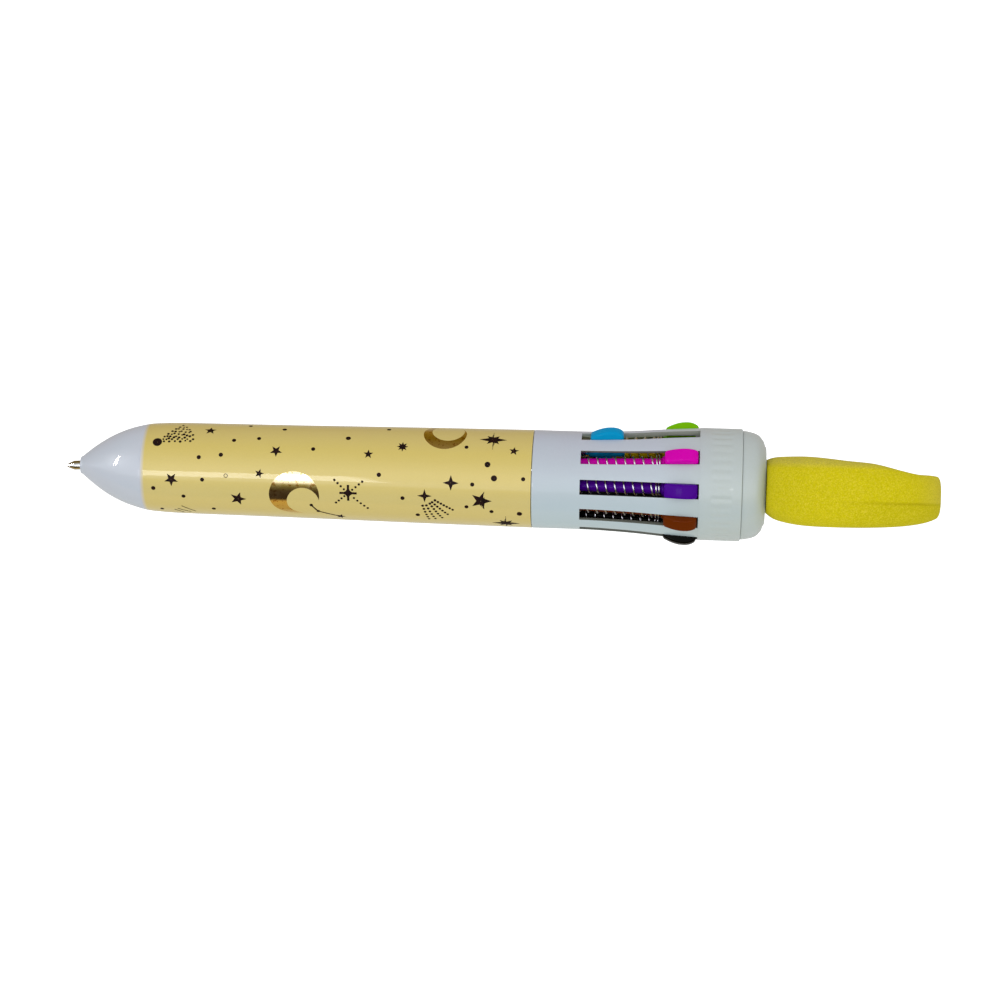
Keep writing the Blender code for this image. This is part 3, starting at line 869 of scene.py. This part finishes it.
def fin_mesh():
    """The fin as a plate with softly rounded edges."""
    work = bmesh.new()
    outline = [Vector((STEM_LENGTH + x, FIN_WIDTH / 2, z)) * MM for x, z in knob_outline()]
    face = work.faces.new([work.verts.new(point) for point in outline])
    pushed = bmesh.ops.extrude_face_region(work, geom=[face])
    moved = [item for item in pushed["geom"] if isinstance(item, bmesh.types.BMVert)]
    bmesh.ops.translate(work, verts=moved, vec=(0, -FIN_WIDTH * MM, 0))
    bmesh.ops.recalc_face_normals(work, faces=work.faces)
    rims = [edge for edge in work.edges
            if abs(edge.verts[0].co.y - edge.verts[1].co.y) < 1e-9
            and max(vertex.co.z for vertex in edge.verts) > 1.0 * MM]
    bmesh.ops.bevel(work, geom=rims, offset=0.4 * MM, offset_type="OFFSET", segments=4, profile=0.5,
                    affect="EDGES")
    return finished("fin", work)


def slider_mesh():
    """Body, fin, latch nib, stem and the spigot that holds the refill."""
    start, shoulder, rear = 0.0, STEM_LENGTH - 0.5, STEM_LENGTH + KNOB_LENGTH
    spigot_front, spigot_r = start - 2.0, 0.55
    stem_rear = shoulder + 1.0
    body = rounded([(shoulder, 0.0), (shoulder, SLIDER_BODY_R, 0.2), (rear, SLIDER_BODY_R, 0.3),
                    (rear, 0.0)], 4)
    stem = rounded([(spigot_front, 0.0), (spigot_front, spigot_r, 0.15), (start, spigot_r),
                    (start, STEM_R, 0.1), (stem_rear, STEM_R), (stem_rear, 0.0)], 3)
    nib = bmesh.new()
    add_block(nib, (STEM_LENGTH + 0.6, -0.4, -2.1), (STEM_LENGTH + 3.4, 0.4, -0.9))
    bmesh.ops.bevel(nib, geom=nib.edges[:], offset=0.12 * MM, segments=2, profile=0.5, affect="EDGES")
    others = [fin_mesh(), lathe("stem", stem, ROD_STEPS), finished("nib", nib)]
    return combine("slider", lathe("body", body, ROD_STEPS), others, "UNION")


def spring_mesh(name, low, high):
    """A coil from low to high along its track, with two closed turns at the slider's end."""
    closed_turns = 2.0
    closed_pitch = min(0.5, (high - low) / COIL_TURNS)
    open_turns = COIL_TURNS - closed_turns
    pitch = (high - low - closed_turns * closed_pitch) / open_turns
    around = 10
    rings = []
    for i in range(int(COIL_TURNS * COIL_STEPS) + 1):
        turns = i / COIL_STEPS
        angle = 2 * math.pi * turns
        x = low + pitch * min(turns, open_turns) + closed_pitch * max(0.0, turns - open_turns)
        spoke = Vector((0.0, math.cos(angle), math.sin(angle)))
        middle = Vector((x, 0.0, 0.0)) + spoke * COIL_R
        along = Vector((1.0, 0.0, 0.0))
        rings.append([middle + spoke * out + along * side for out, side in circle(WIRE_R, around)])
    return skin(name, rings)


def spring_span(colour):
    """Where the CAD spring starts and ends along its track, in mm from the stem's front."""
    places = places_along(track_matrix(colour), "spring_" + colour)
    return min(places) + WIRE_R, max(places) - WIRE_R


def make_spring(colour):
    """A fine coil at its rest length, from its seat to its slider at rest. It keeps that length when the
    slider moves.
    """
    joint = JOINTS["slide_" + colour]
    low, high = spring_span(colour)
    place = track_matrix(colour)
    mesh = spring_mesh("coil_" + colour, low, high)
    mesh.transform(place)
    obj = new_object("coil_" + colour, mesh, WIRE)
    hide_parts("spring_" + colour)
    seat, end = place @ (Vector((low - WIRE_R, 0, 0)) * MM), place @ (Vector((high + WIRE_R, 0, 0)) * MM)
    if min(joint["range_m"]) < 0:
        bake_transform(obj)
        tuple(seat)
        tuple(end)
        return
    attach(obj, REAR_BODY)
    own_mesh(obj)
    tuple(seat)


def refill_matrix(colour):
    """A refill's frame at rest: origin at its pivot, +X back towards the slider."""
    origin = Vector(JOINTS["bend_" + colour]["pos_m"])
    points = [vertex.co for vertex in frame["nodes"]["refill_tube_" + colour].data.vertices]
    forward = (sum(points, Vector()) / len(points) - origin).normalized()
    side = Vector(JOINTS["bend_" + colour]["axis"]).normalized()
    back = -forward
    outward = back.cross(side)
    return axes_matrix(origin, back, outward.cross(back), outward)


def refill_length(colour):
    """From a refill's pivot to the ball of its tip."""
    return -min(places_along(refill_matrix(colour), "refill_tip_" + colour))


def tip_outline(length):
    """Ball, cone, nozzle with a groove, shoulder and plug of a writing tip, from the ball backwards."""
    seat, plug_r, plug_length = TIP_LENGTH - 0.1, 0.6, 3.0
    groove_r = NOZZLE_R - 0.08
    ball = [(0.0, 0.0), (0.0, 0.16), (0.06, 0.27), (0.18, 0.33), (0.3, 0.34)]
    cone = [(0.34, 0.42), (1.2, NOZZLE_R - 0.03), (1.32, NOZZLE_R)]
    nozzle = [(3.2, NOZZLE_R), (3.3, groove_r), (3.6, groove_r), (3.7, NOZZLE_R), (8.4, NOZZLE_R)]
    shoulder = [(9.2, TUBE_R), (seat, TUBE_R)]
    plug = [(seat, plug_r), (seat + plug_length, plug_r), (seat + plug_length, 0.0)]
    return [(x - length, radius) for x, radius in ball + cone + nozzle + shoulder + plug]


def make_refill(colour, ink):
    """Tube, ink column and writing tip of one refill."""
    place = refill_matrix(colour)
    length = refill_length(colour)
    body = "refill_" + colour
    front, rear = TIP_LENGTH - length, -0.2
    ink_front, ink_rear, ink_r = front + 3.3, -9.0, TUBE_BORE_R - 0.04
    tube_outline = rounded([(front, TUBE_BORE_R), (front, TUBE_R, 0.06), (rear, TUBE_R, 0.06),
                            (rear, TUBE_BORE_R)], 2)
    ink_outline = rounded([(ink_front, 0.0), (ink_front, ink_r, 0.1), (ink_rear, ink_r, 0.2),
                           (ink_rear, 0.0)], 3)
    tube = lathe("tube", tube_outline, ROD_STEPS)
    column = lathe("ink", ink_outline, ROD_STEPS)
    tip = lathe("tip", tip_outline(length), ROD_STEPS)
    for mesh in (tube, column, tip):
        mesh.transform(place)
    put("tube_" + colour, tube, TUBE, body, "refill_tube_" + colour)
    put("ink_" + colour, column, ink, body, None)
    put("tip_" + colour, tip, METAL, body, "refill_tip_" + colour)


def make_mechanism():
    """Slider, spring and refill of each colour."""
    shared = slider_mesh()
    for colour in COLOURS:
        paint = scaled(vivid(SLOT_COLOUR["slider_" + colour]), 1.18)
        plastic = moulded_plastic("plastic_" + colour, paint, 0.3, glow=0.02, coat=0.05, shine=0.03)
        mesh = shared.copy()
        mesh.transform(track_matrix(colour))
        put("knob_" + colour, mesh, plastic, "slide_" + colour, "slider_" + colour)
        make_spring(colour)
        make_refill(colour, plastic)


# --- topper ------------------------------------------------------------------


def curve_at(knots, x):
    """A smooth curve through (x, value) knots, level beyond its ends."""
    if x <= knots[0][0]:
        return knots[0][1]
    for i, ((x0, v0), (x1, v1)) in enumerate(zip(knots, knots[1:])):
        if x > x1:
            continue
        before = knots[i - 1] if i else (x0, v0)
        after = knots[i + 2] if i + 2 < len(knots) else (x1, v1)
        slope0 = (v1 - before[1]) / (x1 - before[0])
        slope1 = (after[1] - v0) / (after[0] - x0)
        t = (x - x0) / (x1 - x0)
        span = x1 - x0
        return ((2 * t**3 - 3 * t**2 + 1) * v0 + (t**3 - 2 * t**2 + t) * span * slope0
                + (3 * t**2 - 2 * t**3) * v1 + (t**3 - t**2) * span * slope1)
    return knots[-1][1]


# The crescent's upper and lower edges as the camera sees them, as (x, z).
TOPPER_UPPER = ((46.0, 4.95), (49.0, 5.15), (53.3, 5.2), (59.6, 4.65), (64.0, 4.28), (69.0, 3.2),
                (71.5, 2.75), (74.0, 2.65), (76.2, 2.45))
TOPPER_LOWER = ((46.0, -4.9), (47.5, -5.7), (50.0, -6.3), (53.0, -6.6), (58.5, -6.65), (64.0, -6.5),
                (69.0, -6.15), (73.0, -5.5), (76.2, -4.5))


def topper_crease(x, z, shrink):
    """How deep the two faint creases along the crescent's sides are: the parting line and an upper one."""
    width, depth = 0.3, 0.3
    upper_z = 3.4 - 0.7 * (x - 51.5) / 18.5
    parting = ramp(x, 56.0, 66.0) * ramp(x, 75.5, 73.0) * math.exp(-(((z - PARTING_Z) / width) ** 2))
    upper = math.exp(-(((z - upper_z) / width) ** 2))
    return depth * shrink * (parting + upper)


def topper_section(turn, reach, centre, size, foot_x):
    """The crescent's section at an angle from the middle of its belly, flat-sided with rounded edges."""
    corners, middle_z, flat_share = 160, -1.2, 0.6
    hollow_r, hollow_shift = 0.75 * size, 0.4375 * size
    opening, round_end = math.radians(45.0), math.radians(7.0)
    inner = math.sqrt(hollow_r**2 - (hollow_shift * math.sin(turn)) ** 2) - hollow_shift * math.cos(turn)
    half_width = 0.9 + 0.45 * max(0.0, size - inner)
    shrink = math.sqrt(1.0 - ramp(abs(turn), reach - round_end, reach) ** 2)
    angle = opening + math.pi + turn
    ring = []
    for j in range(corners):
        around = 2 * math.pi * (j + 0.5) / corners
        across = math.copysign(abs(math.cos(around)) ** 0.6, math.cos(around))
        up = math.copysign(abs(math.sin(around)) ** 0.62, math.sin(around))
        flat_x = centre.x + (size - half_width * (1.0 - across)) * math.cos(angle)
        edge_z = curve_at(TOPPER_UPPER if up > 0 else TOPPER_LOWER, flat_x)
        z = middle_z + abs(edge_z - middle_z) * up * (0.25 + 0.75 * shrink)
        wall = ramp(abs(across), flat_share, 1.0)
        dent = topper_crease(flat_x, z, shrink) * wall / max(half_width, 1.5)
        radius = size - half_width * (1.0 - across * shrink * (1.0 - dent))
        x = centre.x + radius * math.cos(angle)
        y = centre.y + radius * math.sin(angle)
        ring.append((max(x, foot_x), y, z))
    return ring


def make_topper():
    """The puffy crescent, pressed flat against the cap."""
    low, high = node_extent("topper")
    size = (high.y - low.y) / 2
    centre = Vector((high.x - size, (low.y + high.y) / 2, 0.0))
    reach = math.radians(139.5)
    sections = 150
    turns = [reach * (2.0 * i / sections - 1.0) for i in range(sections + 1)]
    mesh = skin("crescent", [topper_section(turn, reach, centre, size, low.x) for turn in turns])
    socket_r, socket_front, socket_rear = 2.6, low.x - 1.0, low.x + 8.0
    socket = lathe("socket", [(socket_front, 0.0), (socket_front, socket_r), (socket_rear, socket_r),
                              (socket_rear, 0.0)], 64)
    mesh = combine("crescent", mesh, [socket], "DIFFERENCE")
    put("crescent_topper", mesh, FOAM, REAR_BODY, "topper")


# --- print on the barrel -----------------------------------------------------


class Print:
    """Flat prints laid on the film as very thin closed patches, from (x, arc) places in mm."""

    def __init__(self, name, material, profile):
        self.name, self.material, self.profile = name, material, profile
        self.middle = (profile[0][0] + profile[-1][0]) / 2
        self.behind = False
        self.points, self.faces = [], []

    def radius(self, x):
        xs, rs = zip(*self.profile)
        return float(np.interp(x, xs, rs))

    def place(self, x, degrees):
        """The (x, arc) of a place given by its angle down from the side the camera sees."""
        return x, math.radians(degrees) * self.radius(x)

    def on_film(self, x, arc, lift):
        """The point over a place. While behind is set, it is on the far side, turned end for end."""
        if self.behind:
            x = 2 * self.middle - x
        radius = self.radius(x)
        angle = arc / radius
        if self.behind:
            angle = math.pi - angle
        return pen_point(x, radius + lift, angle)

    def grid(self, rows, joined):
        """A patch through rows of places. joined closes each row on itself."""
        lift, sink = 0.018, -0.03
        count, layers = len(rows[0]), []
        for height in (lift, sink):
            layers.append(len(self.points))
            self.points += [self.on_film(x, arc, height) for row in rows for x, arc in row]
        across = count if joined else count - 1
        last = len(rows) - 1
        for base in layers:
            for i in range(last):
                for j in range(across):
                    a, b = base + i * count + j, base + i * count + (j + 1) % count
                    self.faces.append((a, b, b + count, a + count))
        rims = [(i * count + j, i * count + (j + 1) % count) for i in (0, last) for j in range(across)]
        if not joined:
            ends = [i * count + j for j in (0, count - 1) for i in range(last)]
            rims += [(a, a + count) for a in ends]
        for a, b in rims:
            self.faces.append((layers[0] + a, layers[0] + b, layers[1] + b, layers[1] + a))

    def blob(self, x, arc, outline):
        """A filled patch whose outline every ray from its middle meets once."""
        shares = (1.0, 0.66, 0.33, 0.04)
        self.grid([[(x + dx * share, arc + dy * share) for dx, dy in outline] for share in shares], True)

    def star(self, x, arc, size, points=5, waist=0.42, turn=0.0):
        outline = []
        for k in range(2 * points):
            reach = size * (waist if k % 2 else 1.0)
            angle = math.pi * k / points + turn
            outline.append((reach * math.cos(angle), reach * math.sin(angle)))
        self.blob(x, arc, outline)

    def dot(self, x, arc, size, sides=14):
        self.blob(x, arc, circle(size, sides))

    def hoop(self, x, arc, size, line):
        sides = 20
        edges = (circle(size, sides), circle(size - line, sides))
        self.grid([[(x + dx, arc + dy) for dx, dy in edge] for edge in edges], True)

    def line(self, start, end, width):
        (x0, a0), (x1, a1) = start, end
        length = math.hypot(x1 - x0, a1 - a0)
        nx, na = -(a1 - a0) / length * width / 2, (x1 - x0) / length * width / 2
        steps = max(2, int(length / 0.5))
        rows = []
        for i in range(steps + 1):
            t = i / steps
            x, arc = x0 + (x1 - x0) * t, a0 + (a1 - a0) * t
            rows.append([(x + nx, arc + na), (x - nx, arc - na)])
        self.grid(rows, False)

    def dotted(self, start, end, count, small, large):
        for i in range(count):
            t = i / max(1, count - 1)
            self.dot(start[0] + (end[0] - start[0]) * t, start[1] + (end[1] - start[1]) * t,
                     small + (large - small) * t, 8)

    def crescent(self, x, arc, size, cut_dx, cut_darc, cut_r):
        """The part of a disc outside a second, shifted disc, from horn to horn."""
        shift = math.hypot(cut_dx, cut_darc)
        toward = math.atan2(cut_darc, cut_dx)
        horn = math.acos((size**2 - cut_r**2 + shift**2) / (2 * size * shift))
        steps, across = 48, 8
        rows = []
        for i in range(steps + 1):
            turn = toward + horn + (2 * math.pi - 2 * horn) * i / steps
            inner = shift * math.cos(turn - toward)
            inner += math.sqrt(max(0.0, cut_r**2 - (shift * math.sin(turn - toward)) ** 2))
            inner = min(inner, size - 0.01)
            row = []
            for k in range(across + 1):
                reach = inner + (size - inner) * k / across
                row.append((x + reach * math.cos(turn), arc + reach * math.sin(turn)))
            rows.append(row)
        self.grid(rows, False)

    def finish(self):
        mesh = mesh_through(self.name, self.points, self.faces)
        put(self.name, mesh, self.material, FRONT_BODY, None)


def draw_sky(dark, gold, seed):
    """One half of the barrel's pattern."""
    rng = random.Random(seed)
    place = dark.place
    draw_comet(dark, *place(-59.1, -34), rng)
    stars = ((-50.2, -56, 1.05, -1.57), (-38.3, -25, 1.1, -1.0), (-56.3, 15, 1.25, 1.57),
             (-41.0, 4, 0.82, -1.3), (-44.8, 39, 1.45, 0.0), (-22.3, -24, 0.86, -1.57),
             (2.7, -33, 0.86, -1.45), (-2.7, 29, 1.85, 0.0))
    for x, degrees, size, turn in stars:
        dark.star(*place(x, degrees), size, turn=turn)
    dots = ((-45.8, -39), (-41.5, -43), (-37.4, -63), (-43.5, -72), (-51.6, -14), (-47.8, -18),
            (-31.9, -29), (-50.9, 14), (-59.5, 28), (-54.3, 38), (-58.5, 67), (-49.3, 60), (-19.3, -69),
            (-5.5, -37), (-4.2, 9), (4.5, 1), (-20.3, 1), (-16.2, 29), (-13.7, 55), (-5.2, 38), (-0.9, 44))
    for x, degrees in dots:
        dark.dot(*place(x, degrees), 0.34 + 0.05 * rng.random())
    for x, degrees, size in ((-26.05, -47, 0.44), (-1.7, -15, 0.5), (-0.5, 1, 0.52), (3.9, 46, 0.46)):
        dark.dot(*place(x, degrees), size, 18)
    dark.hoop(*place(-46.8, 8), 0.36, 0.1)
    dark.star(*place(-16.5, -35.5), 1.0, 8, 0.5)
    draw_long_star(dark, *place(-1.0, -50))
    draw_long_star(dark, *place(1.5, 67))
    draw_sparkle(dark, *place(-25.6, 25))
    draw_shooting_star(dark, *place(-12.4, 25))
    dark.star(*place(-7.9, 8), 1.36, 4, 0.36)
    draw_links(dark, [place(-32.1, 45), place(-31.0, 56), place(-27.2, 67)])
    for x0, turn0, x1, turn1 in ((-54.9, 56, -52.6, 69), (-55.7, 63, -53.5, 72), (-56.3, 66, -54.8, 75)):
        dark.line(place(x0, turn0), place(x1, turn1), 0.17)
    gold.crescent(*place(-35.0, 31), 4.36, 1.5, 1.3, 2.82)
    gold.crescent(*place(-9.4, -59), 3.73, 0.5, -0.95, 2.79)


def draw_comet(dark, x, arc, rng):
    """A round head and a spray of dots that fans out behind it."""
    dark.dot(x, arc, 0.82, 20)
    rows, opening, start = 12, math.radians(52.0), 1.15
    for k in range(rows):
        reach = start + 0.46 * k
        count = 2 + (k + 1) // 3
        for j in range(count):
            share = (j + 0.25 + 0.5 * (k % 2)) / count
            angle = -opening * share - 0.02 + 0.05 * (rng.random() - 0.5)
            here = reach * (1.0 + 0.05 * (rng.random() - 0.5))
            dark.dot(x + here * math.cos(angle), arc + here * math.sin(angle), 0.17 + 0.09 * rng.random(), 8)


def draw_long_star(dark, x, arc):
    dark.star(x, arc, 1.5, 4, 0.4, math.pi / 4)
    dark.star(x, arc, 2.35, 4, 0.3)


def draw_sparkle(dark, x, arc):
    """A thin cross with four dotted rays between its arms."""
    for dx, darc in ((1.5, 0.0), (0.0, 1.5)):
        dark.line((x - dx, arc - darc), (x + dx, arc + darc), 0.4)
    dark.star(x, arc, 1.0, 4, 0.55)
    for dx, darc, count in ((-2.35, -2.3, 4), (2.45, -2.15, 4), (-2.15, 2.0, 4), (3.3, 3.05, 5)):
        dark.dotted((x + 0.3 * dx, arc + 0.3 * darc), (x + dx, arc + darc), count, 0.2, 0.23)


def draw_shooting_star(dark, x, arc):
    """A four-pointed star that trails five dotted lines."""
    dark.star(x, arc, 1.25, 4, 0.33)
    trails = (((1.8, 0.8), (4.8, 2.7), 7), ((1.3, 1.2), (3.9, 3.9), 7), ((0.9, 1.5), (2.9, 5.0), 7),
              ((0.3, 1.9), (1.7, 5.4), 6), ((-0.35, 2.0), (0.6, 5.6), 6))
    for (x0, a0), (x1, a1), count in trails:
        dark.dotted((x + x0, arc + a0), (x + x1, arc + a1), count, 0.25, 0.23)


def draw_links(dark, places):
    for start, end in zip(places, places[1:]):
        dark.line(start, end, 0.26)
    for x, arc in places[:-1]:
        dark.dot(x, arc, 0.32, 10)
    dark.star(*places[-1], 0.85)


def make_prints(profile):
    """The moons and stars, once on the side the camera sees and once, turned end for end, behind."""
    dark = Print("print_dark", PRINT, profile)
    gold = Print("print_gold", GOLD, profile)
    for behind, seed in ((False, 3), (True, 8)):
        dark.behind = gold.behind = behind
        draw_sky(dark, gold, seed)
    dark.finish()
    gold.finish()


# --- floor, light and camera -------------------------------------------------


def make_floor():
    """A pale sheet under the pen that curves up behind it."""
    drop, reach, level_to, bend, steps = 0.05, 3.0, 0.6, 1.2, 16
    profile = [(-reach, -drop), (level_to, -drop)]
    for k in range(1, steps + 1):
        angle = math.pi / 2 * k / steps
        profile.append((level_to + bend * math.sin(angle), -drop + bend * (1 - math.cos(angle))))
    profile.append((level_to + bend, reach))
    work = bmesh.new()
    rows = [[work.verts.new((x, y, z)) for y, z in profile] for x in (-reach, reach)]
    for i in range(len(profile) - 1):
        work.faces.new((rows[0][i], rows[0][i + 1], rows[1][i + 1], rows[1][i]))
    mesh = finished("backdrop", work)
    mesh.shade_smooth()
    paper = Shader("paper", (0.9, 0.9, 0.9), 0.8)
    paper.set("Emission Color", (1.0, 1.0, 1.0, 1.0))
    paper.set("Emission Strength", 0.62)
    paper.mottle(30.0, 3.0, 0.2, (0.86, 0.86, 0.87))
    obj = new_object("backdrop", mesh, paper.material)
    obj.visible_glossy = False
    obj.visible_diffuse = False
    obj.visible_shadow = False


# Light by the angle around the pen: 0 is behind, 0.25 below, 0.5 at the camera and 0.75 above.
GLOSSY_BANDS = ((0.0, (0.6, 0.6, 0.6)), (0.12, (0.65, 0.6, 0.5)), (0.2, (0.45, 0.3, 0.09)),
                (0.275, (0.55, 0.34, 0.08)), (0.292, (0.035, 0.02, 0.01)), (0.36, (0.05, 0.03, 0.012)),
                (0.39, (0.14, 0.11, 0.035)), (0.41, (0.35, 0.28, 0.1)), (0.425, (1.35, 1.35, 1.4)),
                (0.51, (1.25, 1.25, 1.3)), (0.56, (0.7, 0.7, 0.72)), (0.64, (0.35, 0.28, 0.16)),
                (0.7, (0.22, 0.15, 0.05)), (0.78, (0.16, 0.09, 0.0)), (0.86, (0.25, 0.15, 0.02)),
                (1.0, (0.6, 0.6, 0.6)))
SOFT_LIGHT = ((0.0, (0.41, 0.42, 0.43)), (0.2, (0.73, 0.76, 0.78)), (0.35, (0.96, 0.98, 1.0)),
              (0.5, (0.93, 0.96, 0.96)), (0.68, (0.86, 0.87, 0.88)), (0.8, (0.56, 0.57, 0.59)),
              (1.0, (0.41, 0.42, 0.43)))


def make_world():
    """White to the camera, and soft light on the pen that is strongest from the front. Glossy surfaces
    see sharper bands of light and shade around the pen's axis instead."""
    world = bpy.data.worlds.new("studio")
    bpy.context.scene.world = world
    world.use_nodes = True
    sky = Nodes(world.node_tree)
    split = sky.add("ShaderNodeSeparateXYZ")
    sky.link(sky.add("ShaderNodeTexCoord").outputs["Generated"], split.inputs["Vector"])
    front = sky.calculate("MULTIPLY", split.outputs["Y"], -1.0)
    turn = sky.calculate("ARCTAN2", split.outputs["Z"], front)
    share = sky.spread(turn, 0.0, 1.0, -math.pi, math.pi)
    path = sky.add("ShaderNodeLightPath").outputs
    bands, soft = sky.colour_ramp(share, GLOSSY_BANDS), sky.colour_ramp(share, SOFT_LIGHT)
    lit = sky.mix(path["Is Glossy Ray"], soft, bands)
    seen = sky.mix(path["Is Camera Ray"], lit, (1.0, 1.0, 1.0))
    sky.link(seen, sky.tree.nodes["Background"].inputs["Color"])


def add_light(name, power, size, place, aim=(0.0, 0.0, 0.0), reflected=True, lights=True):
    """A soft box, which may show only in glossy surfaces or only light the matt ones."""
    light = bpy.data.lights.new(name, "AREA")
    light.shape = "RECTANGLE"
    light.energy = power
    light.size, light.size_y = size
    obj = new_object(name, light)
    obj.location = place
    obj.rotation_euler = (Vector(aim) - Vector(place)).to_track_quat("-Z", "Y").to_euler()
    obj.visible_camera = False
    obj.visible_glossy = reflected
    obj.visible_diffuse = lights


def make_lights():
    """Two strips for the reflections on film and nose, and two soft boxes for the rest."""
    add_light("strip", 1.05, (0.34, 0.2), (-0.305, -0.84, -0.235), (-0.03, 0.0, 0.0), lights=False)
    add_light("nose_glint", 3.6, (0.06, 0.36), (-0.80, -0.46, 0.21), (-0.066, 0.0, 0.0), lights=False)
    add_light("overhead", 0.7, (1.2, 0.9), (0.0, -0.2, 1.1), reflected=False)
    add_light("front", 0.8, (1.6, 1.0), (0.3, -1.3, 0.25))


def make_camera():
    """A long lens at the pen's side, turned a little so that the topper's end is nearer."""
    camera = bpy.data.cameras.new("camera")
    camera.lens = 103.56
    camera.sensor_width = 36.0
    camera.shift_y = -0.0223
    obj = new_object("camera", camera)
    yaw, roll = math.radians(3.6), math.radians(-1.777)
    distance = 0.5
    turn = Matrix.Rotation(yaw, 4, "Z")
    place = turn @ Vector((0.0, -distance, 0.0))
    look = turn @ Matrix.Rotation(math.pi / 2, 4, "X") @ Matrix.Rotation(-roll, 4, "Z")
    obj.matrix_world = Matrix.Translation(place) @ look
    bpy.context.scene.camera = obj


def main():
    profile = make_barrel()
    make_prints(profile)
    make_housing()
    make_collar()
    make_end_cap()
    make_peg()
    make_guide_plate()
    make_core()
    make_mechanism()
    make_topper()
    make_floor()
    make_world()
    make_lights()
    make_camera()
    bpy.context.scene.view_settings.view_transform = "Standard"


main()
